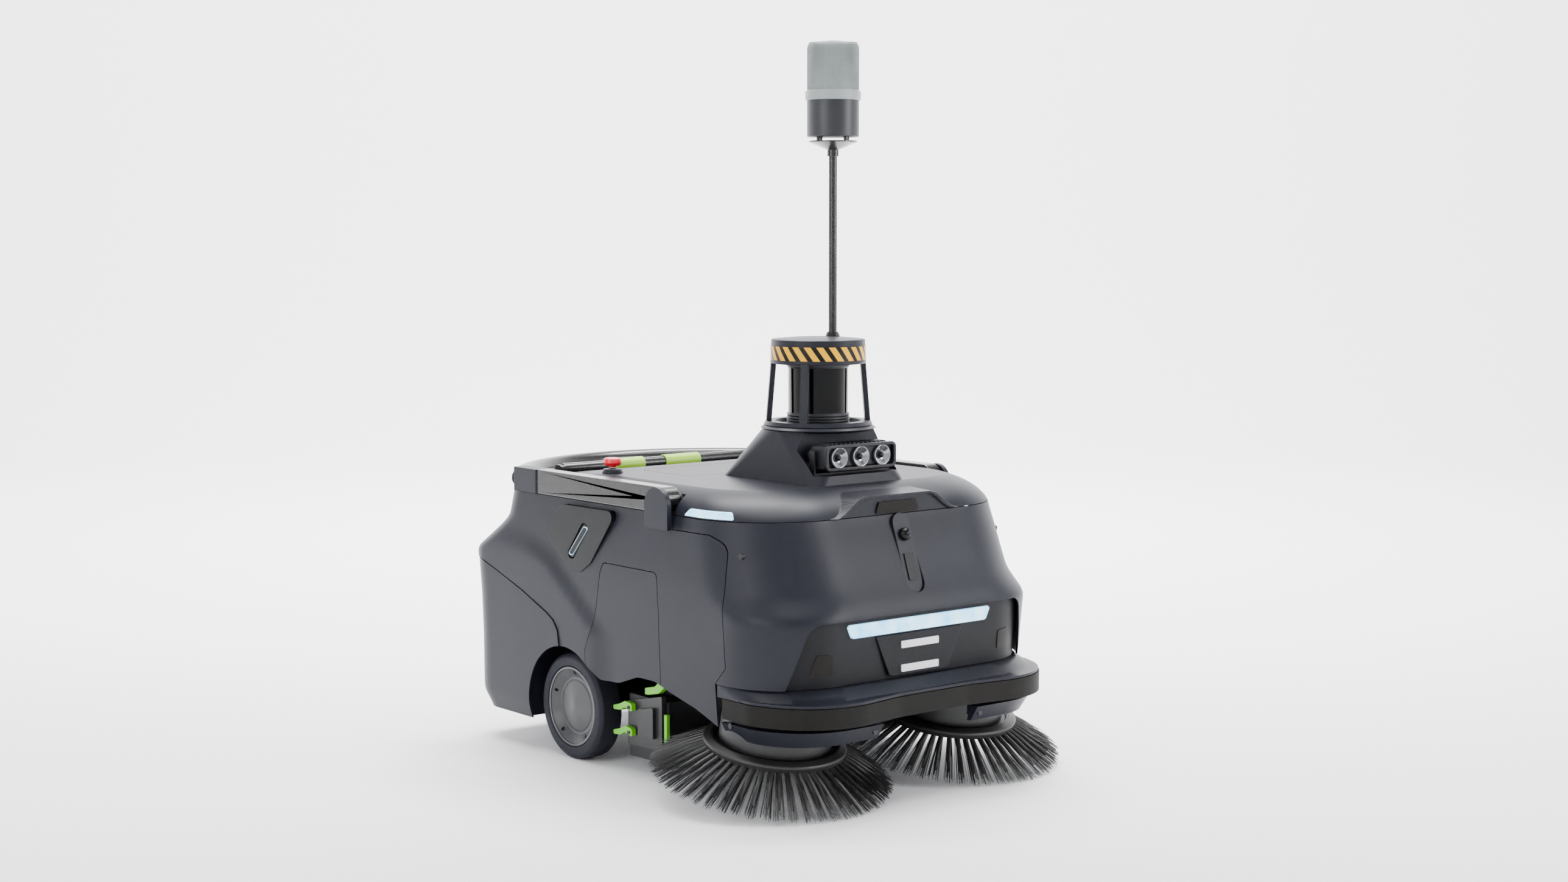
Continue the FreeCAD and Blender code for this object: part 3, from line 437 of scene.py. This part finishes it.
def casing(name, table, low, high, reach, wall, swell, body, replaces=(), slot_name="body_plastic"):
    """Closed double-walled ring of the body between two heights."""
    rows = int((high - low) / ROW_HEIGHT) + 1
    heights = np.linspace(low, high, rows)
    values = smooth_table(table, heights, reach)
    verts, faces = [], []
    for layer in (0, 1):
        for h, (w, f, r, a, b) in zip(heights, values):
            o = wall * layer
            ring = plan(w - o, f + o, r - o, max(a - o, 2), max(b - o, 2))
            if swell:
                ring = fender(ring, h)
            verts.append(np.column_stack([ring, np.full(len(ring), h)]))
    count = len(verts[0])
    verts = to_world(np.concatenate(verts))

    def outer(r, c):
        return r * count + c % count

    def inner(r, c):
        return outer(rows + r, c)

    for c in range(count):
        for r in range(rows - 1):
            faces.append((outer(r, c), outer(r, c + 1), outer(r + 1, c + 1), outer(r + 1, c)))
            faces.append((inner(r, c), inner(r + 1, c), inner(r + 1, c + 1), inner(r, c + 1)))
        faces.append((outer(0, c), inner(0, c), inner(0, c + 1), outer(0, c + 1)))
        last = rows - 1
        faces.append((outer(last, c), outer(last, c + 1), inner(last, c + 1), inner(last, c)))
    return make_object(name, verts, faces, slot_name, body, replaces)


# Seams and cut-outs seen from the side: (y, z) corners, with a radius where one is rounded.
SEAM_LINE = [(12, 405), (-77, 405, 14), (-112, 392, 24), (-123, 211), (-98, 185), (-105, 100)]
BIN_LINE = [(308, 186), (312, 211, 14), (325, 226, 14), (344, 236, 10), (416, 264), (490, 288), (545, 304)]
DOOR = [(39, 100), (43, 280), (47, 334, 10), (188, 334, 10), (196, 318, 10), (205, 274, 30),
        (217, 228, 30), (235, 190, 10), (235, 100)]
SKIRT = [(-140, 60), (-140, 112), (-105, 120), (-49, 139), (12, 153, 60), (55, 165, 40), (100, 165, 40),
         (150, 148, 40), (198, 146, 20), (240, 168), (300, 168), (300, 60)]
PANEL = [(347, 361, 15), (328, 400, 20), (300, 417, 15), (160, 418, 10), (163, 402, 8), (221, 330, 4),
         (250, 312, 12), (280, 314, 12)]


def through_body(points):
    """Prism through the whole width of the body."""
    return prism(points, -BEYOND, BEYOND)


def side_prism(points, side):
    """Prism through one side wall: side is -1 for left, 1 for right."""
    near, far = SIDE_SLAB
    return prism(points, *((-far, -near) if side < 0 else (near, far)))


def front_region(grow):
    """Side view of everything ahead of the seam, moved back by grow."""
    line = [(y + grow, z - grow if z > 380 else z, *r) for y, z, *r in SEAM_LINE]
    return through_body([(12 + grow, 500)] + line + [(-500, 100), (-500, 500)])


def door_prism(grow, side):
    points = [(y + (grow if y > 150 else -grow), z + (grow if z > 300 else 0), *r) for y, z, *r in DOOR]
    return side_prism(points, side)


def arch_prism(grow):
    ring = [(WHEEL_Y + (ARCH + grow) * math.cos(a), WHEEL_Z + (ARCH + grow) * math.sin(a))
            for a in np.linspace(0, 2 * math.pi, 65)[:-1]]
    return through_body(ring)


def inset_table(table, amount):
    """The body outline moved inward by an amount."""
    return [(z, w - amount, f + amount, r - amount, max(a - amount, 3), max(b - amount, 3))
            for z, w, f, r, a, b in table]


front = casing("front_cover_shell", UPPER, 184.6, 425.4, 5, 3.0, False, "chassis", ["front_cover"])
boolean(front, front_region(0), "INTERSECT")
recess = prism([(-243, 170), (-213, 283, 26), (213, 283, 26), (243, 170)], -BEYOND, -150, "y", 10)
boolean(front, recess, "DIFFERENCE")

# opening for the camera pod, leaning back with the front
pod = prism([(-17.6, -62.6, 17), (17.6, -62.6, 17), (17.6, 62.6, 17), (-17.6, 62.6, 17)], -6, 14, "z", 14)
lean = Matrix.Translation((0, (-206 + SHIFT_Y) * MM, 367 * MM)) @ Matrix.Rotation(math.radians(71), 4, "X")
pod.data.transform(Matrix.Translation((0, -SHIFT_Y * MM, 0)))
pod.data.transform(lean)
boolean(front, pod, "DIFFERENCE")

main = casing("main_cover_shell", UPPER, 112, 425.4, 5, 3.0, True, "chassis", ["main_cover"])
boolean(main, front_region(1.4), "DIFFERENCE")
boolean(main, through_body(SKIRT), "DIFFERENCE")
boolean(main, arch_prism(0), "DIFFERENCE")
below_seam = [(y, z + 1.6, *r) for y, z, *r in BIN_LINE] + [(800, 305.6), (800, 0), (306, 0)]
boolean(main, through_body(below_seam), "DIFFERENCE")
for s in (-1, 1):
    boolean(main, door_prism(1.2, s), "DIFFERENCE")
    boolean(main, side_prism(PANEL, s), "DIFFERENCE")

for s, side_name in ((-1, "left"), (1, "right")):
    door = casing("side_door_shell_" + side_name, UPPER, 112, 425.6, 5, 3.0, True, "door_" + side_name,
                  ["side_door_" + side_name])
    boolean(door, door_prism(0, s), "INTERSECT")
    boolean(door, through_body(SKIRT), "DIFFERENCE")
    boolean(door, arch_prism(1), "DIFFERENCE")
    soften(door, 1.0)

bin_shell = casing("dust_bin_skin", inset_table(UNDER, -0.5), 54, 303.8, 5, 2.6, True, "bin")
boolean(bin_shell, through_body(BIN_LINE + [(800, 304), (800, 40), (308, 40)]), "INTERSECT")
boolean(bin_shell, arch_prism(0), "DIFFERENCE")
boolean(bin_shell, prism([(540, 195), (540, 241), (640, 241), (640, 185)], -210, 210), "DIFFERENCE")

panel = casing("front_panel_shell", inset_table(UPPER, 9), 184.6, 284, 5, 4, False, "chassis",
               ["front_panel"], "panel_plastic")
panel_edge = [(-242, 170), (-215, 284, 25), (215, 284, 25), (242, 170)]
boolean(panel, prism(panel_edge, -BEYOND, -120, "y", 10), "INTERSECT")
soften(panel, 0.8)
plate_edge = [(-88, 252), (-60, 189, 8), (60, 189, 8), (88, 252)]
soften(slab("front_plate", plate_edge, -238, -229, 6, "panel_plastic"), 1.2)
for s in (-1, 1):
    side_name = "left" if s < 0 else "right"
    pane = casing("side_window_" + side_name, inset_table(UPPER, 8), 195, 245, 5, 2, False, "chassis",
                  ["sensor_windows"] if s < 0 else (), "sensor_window")
    edge = [(s * 169, 204, 4), (s * 169, 234, 4), (s * 196, 236, 4), (s * 206, 205, 4)]
    boolean(pane, prism(edge, -BEYOND, -120, "y"), "INTERSECT")
    soften(pane, 0.5)
hood_edge = [(-44, 428, 3), (-38, 446, 4), (38, 446, 4), (44, 428, 3)]
soften(slab("hood_window", hood_edge, -187.4, -184, 5, "sensor_window"), 0.5)
for obj in (front, main, bin_shell):
    soften(obj, 1.1)


# ------------------------------------------------------------------ bristles
def fibres(strands, width, sides=3):
    """Thin tapered strands, each given as a list of points, joined into one mesh."""
    verts, faces = [], []
    for path in strands:
        path = np.asarray(path, float)
        run = path[-1] - path[0]
        run /= np.linalg.norm(run)
        across = np.cross(run, (0.31, 0.17, 0.93))
        across /= np.linalg.norm(across)
        other = np.cross(run, across)
        first = len(verts)
        count = len(path)
        for k, point in enumerate(path):
            r = width * (1.0 - 0.45 * k / (count - 1))
            for s in range(sides):
                a = 2 * math.pi * s / sides
                verts.append(point + r * (math.cos(a) * across + math.sin(a) * other))
        for k in range(count - 1):
            for s in range(sides):
                a, b = first + k * sides + s, first + k * sides + (s + 1) % sides
                faces.append((a, b, b + sides, a + sides))
        faces.append(tuple(range(first + sides - 1, first - 1, -1)))
        faces.append(tuple(range(first + (count - 1) * sides, first + count * sides)))
    return to_world(verts), faces


def brush_strands(x0):
    """Loose bristles and the dense cores of the tufts, fanned out and down round a tilted disc."""
    lean = math.sin(BRUSH_TILT), math.cos(BRUSH_TILT)

    def place(radius, angle, rise):
        u, v = radius * math.cos(angle), radius * math.sin(angle)
        return (x0 + u, BRUSH_Y + v * lean[1] - rise * lean[0], BRUSH_Z + v * lean[0] + rise * lean[1])

    strands, cores = [], []
    tufts = 52
    for k in range(tufts):
        middle = 2 * math.pi * (k + random.uniform(-0.08, 0.08)) / tufts
        cores.append([place(99, middle, 47), place(128, middle, 33.5),
                      place(152, middle, 20), place(166, middle, 11)])
        for _ in range(30):
            spin = random.uniform(0, 2 * math.pi)
            out = math.sqrt(random.random())
            root = 3.6 * out
            tip = (8.6 + random.uniform(-1.0, 2.4)) * out
            reach = 184.5 + random.uniform(-7, 2.5)
            drop = max(1.0, 3.0 + 4.0 * out * math.sin(spin) + random.uniform(-0.8, 0.8))
            points = []
            for s in (0.0, 0.35, 0.7, 1.0):
                radius = 97 + (reach - 97) * s
                fan = root + (tip - root) * s
                rise = 45.5 + (drop - 45.5) * s ** 1.12 + fan * 0.55 * math.sin(spin) * (1 - s * 0.5)
                side = fan * math.cos(spin) / radius
                points.append(place(radius, middle + side, rise))
            strands.append(points)
    return strands, cores


for side_name, x0 in BRUSH.items():
    strands, cores = brush_strands(x0)
    verts, faces = fibres(strands, 0.62)
    make_object("brush_tufts_" + side_name, verts, faces, "bristle", "side_brush_" + side_name,
                ["side_brush_bristles_" + side_name])
    verts, faces = fibres(cores, 4.2, 7)
    make_object("brush_tuft_cores_" + side_name, verts, faces, "bristle", "side_brush_" + side_name)

strands = []
for row in range(10):
    for k in range(72):
        x = -ROLLER_HALF + 2 * ROLLER_HALF * k / 71
        turn = 2 * math.pi * row / 10 + 0.9 * abs(x) / ROLLER_HALF
        for _ in range(4):
            a = turn + random.uniform(-0.06, 0.06)
            shift = x + random.uniform(-2.2, 2.2)
            bend = ((25.5, 0.0), (37, 0.02), (47.6, 0.05 + random.uniform(-0.02, 0.02)))
            strands.append([(shift, ROLLER_Y + r * math.cos(a + b), ROLLER_Z + r * math.sin(a + b))
                            for r, b in bend])
verts, faces = fibres(strands, 0.9)
make_object("roller_tufts", verts, faces, "bristle", "roller", ["roller_bristles"])


# ------------------------------------------------------------------ turned and moulded details
def lathe(name, profile, at, axis, material, body, replaces=(), steps=64, ring=False):
    """Solid of revolution of (radius, height) points about an axis; a ring has an open middle."""
    direction = Vector(axis).normalized()
    turn = direction.to_track_quat("Z", "Y").to_matrix()
    verts, faces = [], []
    count = len(profile)
    for k in range(steps):
        a = 2 * math.pi * k / steps
        for r, h in profile:
            p = turn @ Vector((r * math.cos(a), r * math.sin(a), h))
            verts.append((at[0] + p.x, at[1] + p.y, at[2] + p.z))
    for k in range(steps):
        n = (k + 1) % steps
        for i in range(count - 1):
            faces.append((k * count + i, n * count + i, n * count + i + 1, k * count + i + 1))
        if ring:
            faces.append((k * count + count - 1, n * count + count - 1, n * count, k * count))
    if not ring:
        faces.append(tuple(k * count + count - 1 for k in range(steps)))
        faces.append(tuple(k * count for k in range(steps - 1, -1, -1)))
    obj = make_object(name, to_world(verts), faces, material, body, replaces)
    for poly in obj.data.polygons:
        poly.use_smooth = len(poly.vertices) == 4
    return obj


def sharp_normals(obj, angle=35):
    mod = obj.modifiers.new("edges", "BEVEL")
    mod.width = 0.4 * MM
    mod.segments = 2
    mod.limit_method = "ANGLE"
    mod.angle_limit = math.radians(angle)
    obj.modifiers.new("normals", "WEIGHTED_NORMAL").keep_sharp = True


# ------------------------------------------------------------------ deck
DECK_LOW = (276.0, -184.0, 496.0, 140.0, 60.0)
DECK_TOP = (229.0, -108.0, 290.0, 110.0, 50.0)


def deck_row(turn):
    """Rise above the seam and share of the inward slope at an angle round the shoulder."""
    rise = 0.6 * math.sin(turn) + 0.4 * turn / (math.pi / 2)
    inward = 0.6 * (1 - math.cos(turn)) + 0.4 * turn / (math.pi / 2)
    return rise * (DECK - SEAM), inward


def deck_plan(inward, grow=0.0):
    w, f, r, a, b = (low + (high - low) * inward for low, high in zip(DECK_LOW, DECK_TOP))
    return w + grow, f - grow, r + grow, a + grow, b + grow


def step(value):
    """Smooth step from 0 to 1."""
    v = np.clip(value, 0, 1)
    return v * v * (3 - 2 * v)


def hood(points, rise, thick):
    """The sensor hood swells from the front shoulder, with a shallow recess for its window."""
    x, y = points[:, 0], points[:, 1]
    crown = 31 * step((128 - np.abs(x)) / 62)
    inner = 26.5 * step((113 - np.abs(x)) / 52)
    wall = step((crown - rise) / 1.6 + 0.5) * (y < -60) * (np.abs(x) < 130)
    sunk = step((inner - rise) / 1.0 + 0.5) * (np.abs(x) < 116)
    front = -189.0 + 4.6 * sunk + thick
    out = points.copy()
    out[:, 1] = y + (np.minimum(front, y) - y) * wall
    return out


def top_shell():
    turns = np.concatenate([np.linspace(0, 0.9, 46), np.linspace(0.94, math.pi / 2, 14)])
    layers = []
    for thick in (0.0, 3.0):
        for turn in turns:
            rise, inward = deck_row(turn)
            ring = plan(*deck_plan(inward, -thick), corner=18, side=50, nose=110)
            ring = hood(ring, rise, thick)
            height = SEAM + 0.5 + rise * (DECK - SEAM - 0.5) / (DECK - SEAM) - thick * math.sin(turn)
            layers.append(np.column_stack([ring, np.full(len(ring), height)]))
    count, rows = len(layers[0]), len(turns)
    faces = []
    for c in range(count):
        n = (c + 1) % count
        for r in range(rows - 1):
            a, b = r * count, (r + 1) * count
            faces.append((a + c, a + n, b + n, b + c))
            a, b = (rows + r) * count, (rows + r + 1) * count
            faces.append((a + c, b + c, b + n, a + n))
        faces.append((c, rows * count + c, rows * count + n, n))
    faces.append(tuple(range((rows - 1) * count, rows * count)))
    faces.append(tuple(range(2 * rows * count - 1, (2 * rows - 1) * count - 1, -1)))
    return make_object("top_cover_shell", to_world(np.concatenate(layers)), faces, "body_plastic", "chassis",
                       ["top_cover"])


top = top_shell()
for s in (-1, 1):
    low, high = (252, 320) if s > 0 else (-320, -252)
    boolean(top, prism([(12, 415), (442, 415), (442, 500), (12, 500)], low, high), "DIFFERENCE")


def lid_prism(inset, low, high):
    """Outline of the service lid, moved inward by an amount."""
    x, front_y, rear_y, r = 150 - inset, 142 + inset, 272 - inset, 14 - inset
    return prism([(-x, front_y, r), (x, front_y, r), (x, rear_y, r), (-x, rear_y, r)], low, high, "z", 8)


groove = lid_prism(0, DECK - 1.2, DECK + 5)
boolean(groove, lid_prism(1.5, DECK - 3, DECK + 8), "DIFFERENCE")
boolean(top, groove, "DIFFERENCE")
soften(top, 0.8, 40)


def shoulder_light(side):
    """Curved strip let into the shoulder, following its surface."""
    rows, columns = 7, 44
    layers = []
    for grow in (0.7, -2.0):
        for k in range(rows):
            turn = 0.05 + 0.33 * k / (rows - 1)
            rise, inward = deck_row(turn)
            w, f, r, a, b = deck_plan(inward, grow)
            ends = (-112 + 9 * k / (rows - 1), -14 - 9 * k / (rows - 1))
            ease = 2.2 * (k in (0, rows - 1))
            for y in np.linspace(ends[0] + ease, ends[1] - ease, columns):
                over = max(f + a - y, 0)
                x = w - a + math.sqrt(max(a * a - over * over, 0))
                layers.append((side * x, y, SEAM + 0.5 + rise))
    size = rows * columns
    faces = []
    for k in range(rows - 1):
        for c in range(columns - 1):
            a = k * columns + c
            faces.append((a, a + 1, a + columns + 1, a + columns))
            faces.append((size + a, size + a + columns, size + a + columns + 1, size + a + 1))
    rim = [c for c in range(columns)] + [(k + 1) * columns - 1 for k in range(1, rows)]
    rim += [(rows - 1) * columns + c for c in range(columns - 2, -1, -1)]
    rim += [k * columns for k in range(rows - 2, 0, -1)]
    for q, a in enumerate(rim):
        b = rim[(q + 1) % len(rim)]
        faces.append((b, a, size + a, size + b))
    obj = make_object("shoulder_light_" + ("left" if side < 0 else "right"), to_world(layers), faces,
                      "light_plastic", "chassis")
    for poly in obj.data.polygons:
        poly.use_smooth = True


shoulder_light(-1)
shoulder_light(1)
bar_edge = [(-147, 276, 4), (-136.5, 255, 6), (136.5, 255, 6), (147, 276, 4)]
soften(slab("front_light_bar", bar_edge, -241, -231, 6, "light_plastic", ["light_strips"]), 1.2)
collar = [(0.3, 465.4), (17, 465.4), (17, 466.6), (15, 472), (13.8, 472.6), (6.6, 472.4), (6.6, 469),
          (0.3, 469)]
lathe("stop_collar", collar, (-212, 262, 0), (0, 0, 1), "body_plastic", "chassis")

rim_profile = [(60.5, -6), (61.2, -1.6), (62.2, -1.0), (64.6, -1.2), (65.4, -2.2), (65.4, -6)]
for s, side_name in ((-1, "left"), (1, "right")):
    rim = lathe("hub_rim_" + side_name, rim_profile, (s * HUB_FACE, WHEEL_Y, WHEEL_Z), (s, 0, 0),
                "hub_metal", "drive_wheel_" + side_name, ring=True)
    sharp_normals(rim)
    dress(nodes["hub_motor_" + side_name], "hub_metal", "hub_dark")
    soften(nodes["hub_motor_" + side_name], 0.8)

# the lamp's three bright reflectors, each with a black emitter in the middle
dish = [(0.4, -1.0), (4.0, -0.6), (9.5, 1.6), (14.6, 5.6), (15.6, 5.9), (16.4, 5.2), (16.4, -1.5),
        (0.4, -1.5)]
emitter = [(5.2, -0.5), (5.0, 2.2), (3.4, 4.2), (0.3, 4.8)]
for k in range(3):
    place = ((k - 1) * LAMP_PITCH, LAMP_FRONT, LAMP_Z)
    lathe("lamp_reflector_%d" % k, dish, place, (0, -1, 0), "lamp_lens", "lamp",
          ["work_lamp_lenses"] if k == 0 else ())
    lathe("lamp_emitter_%d" % k, emitter, place, (0, -1, 0), "gloss_black", "lamp", steps=28)

# beacon: fine upright ribs on the lens
RIBS = 96
ribs, faces = [], []
for k in range(RIBS):
    for r, z in ((40.1, 1074.5), (40.1, 1140), (37.0, 1147.5)):
        for d in (-1, 0, 1):
            a = 2 * math.pi * (k + 0.32 * d) / RIBS
            grow = 0.75 if d == 0 else -0.2
            ribs.append((BEACON_X + (r + grow) * math.cos(a), (r + grow) * math.sin(a), z))
    base = 9 * k
    for j in range(2):
        for d in range(2):
            a = base + 3 * j + d
            faces.append((a, a + 1, a + 4, a + 3))
make_object("beacon_ribs", to_world(ribs), faces, "lens_clear", "chassis")

# outline ring inside the capsule button
ring_points = rounded([(226, 386.5, 6), (239.5, 386.5, 6), (285, 337.5, 6), (271.5, 337.5, 6)], 8)
centre = sum(ring_points) / len(ring_points)
count = len(ring_points)
verts = []
for x, shrink in ((-284.4, 1.0), (-284.9, 1.0), (-284.9, 0.955), (-284.4, 0.955)):
    verts += [(x, *(centre + (q - centre) * shrink)) for q in ring_points]
faces = []
for j in range(4):
    here, ahead = j * count, (j + 1) % 4 * count
    faces += [(here + i, here + (i + 1) % count, ahead + (i + 1) % count, ahead + i) for i in range(count)]
make_object("button_outline", to_world(verts), faces, "light_plastic", "power_button")

for name in ("bumper", "front_skirt", "tower_pedestal", "tower_cage", "handle_clamps", "handle_ears",
             "control_panels", "roller_housing", "roller_end_caps", "latch_brackets", "lower_latch",
             "upper_latch", "work_lamp_body", "work_lamp_bezel", "grip_clips", "reflective_strips",
             "dust_bin", "drive_tyre_left", "drive_tyre_right", "stop_button", "lidar_housing",
             "beacon_base", "beacon_lens", "front_camera_pod", "power_button", "axle_brackets",
             "side_brush_drives", "side_brush_disc_left", "side_brush_disc_right", "work_lamp_stirrup"):
    soften(nodes[name], 0.9)
dress(nodes["grip_clips"], "green_plastic", "lime_plastic")

# the long square tubes stay flat-shaded, with a bevel only
rails = nodes["handle_rails"]
soften(rails, 1.6, 60)
rails.modifiers.remove(rails.modifiers["normals"])
for poly in rails.data.polygons:
    poly.use_smooth = False


# ------------------------------------------------------------------ camera, light and floor
def aim(obj, target):
    obj.rotation_euler = (Vector(target) - obj.location).to_track_quat("-Z", "Y").to_euler()


lens_data = bpy.data.cameras.new("camera")
lens_data.sensor_width = 36.0
lens_data.lens = 52.46
camera = bpy.data.objects.new("camera", lens_data)
scene.collection.objects.link(camera)
scene.camera = camera
camera.location = to_world([-2328.6, -2743.3, 851.0])
camera.rotation_euler = (math.radians(90 - 5.201), 0, math.radians(-39.469))


def softbox(name, place, target, width, height, power):
    data = bpy.data.lights.new(name, "AREA")
    data.shape = "RECTANGLE"
    data.size, data.size_y = width, height
    data.energy = power
    obj = bpy.data.objects.new(name, data)
    scene.collection.objects.link(obj)
    obj.location = place
    aim(obj, target)


softbox("overhead", (0.2, 0.3, 3.4), (0, 0.3, 0.0), 3.4, 3.4, 210)
softbox("front_right", (1.9, -3.3, 1.7), (0, -0.1, 0.35), 1.3, 2.0, 95)
softbox("left_fill", (-3.4, -0.6, 1.7), (0, 0, 0.3), 1.8, 2.4, 55)
softbox("rear_wall", (1.2, 1.6, 4.6), (3.6, 4.6, 1.2), 4.0, 2.0, 1500)

world = bpy.data.worlds.new("studio")
scene.world = world
world.use_nodes = True
sky = world.node_tree.nodes["Background"]
sky.inputs["Color"].default_value = (0.93, 0.95, 1.0, 1)
sky.inputs["Strength"].default_value = 0.36


def backdrop():
    """Floor that sweeps up into a round wall on every side."""
    flat, sweep, top_z, steps = 5.2, 3.0, 6.5, 72
    profile = [(0.02, 0.0), (2.0, 0.0), (flat, 0.0)]
    profile += [(flat + sweep * math.sin(a), sweep - sweep * math.cos(a))
                for a in np.linspace(0.06, math.pi / 2, 18)]
    profile.append((flat + sweep, top_z))
    verts, faces = [], []
    for k in range(steps):
        a = 2 * math.pi * k / steps
        verts += [(r * math.cos(a), r * math.sin(a), z) for r, z in profile]
    count = len(profile)
    for k in range(steps):
        n = (k + 1) % steps
        for i in range(count - 1):
            faces.append((k * count + i, n * count + i, n * count + i + 1, k * count + i + 1))
    faces.append(tuple(k * count for k in range(steps)))
    mesh = bpy.data.meshes.new("studio_floor")
    mesh.from_pydata(verts, [], faces)
    for poly in mesh.polygons:
        poly.use_smooth = True
    obj = bpy.data.objects.new("studio_floor", mesh)
    scene.collection.objects.link(obj)
    return obj


floor = backdrop()
floor_mat, _, floor_shader = new_material("studio_floor")
floor_shader.inputs["Base Color"].default_value = (0.90, 0.90, 0.91, 1)
floor_shader.inputs["Roughness"].default_value = 0.7
floor.data.materials.append(floor_mat)
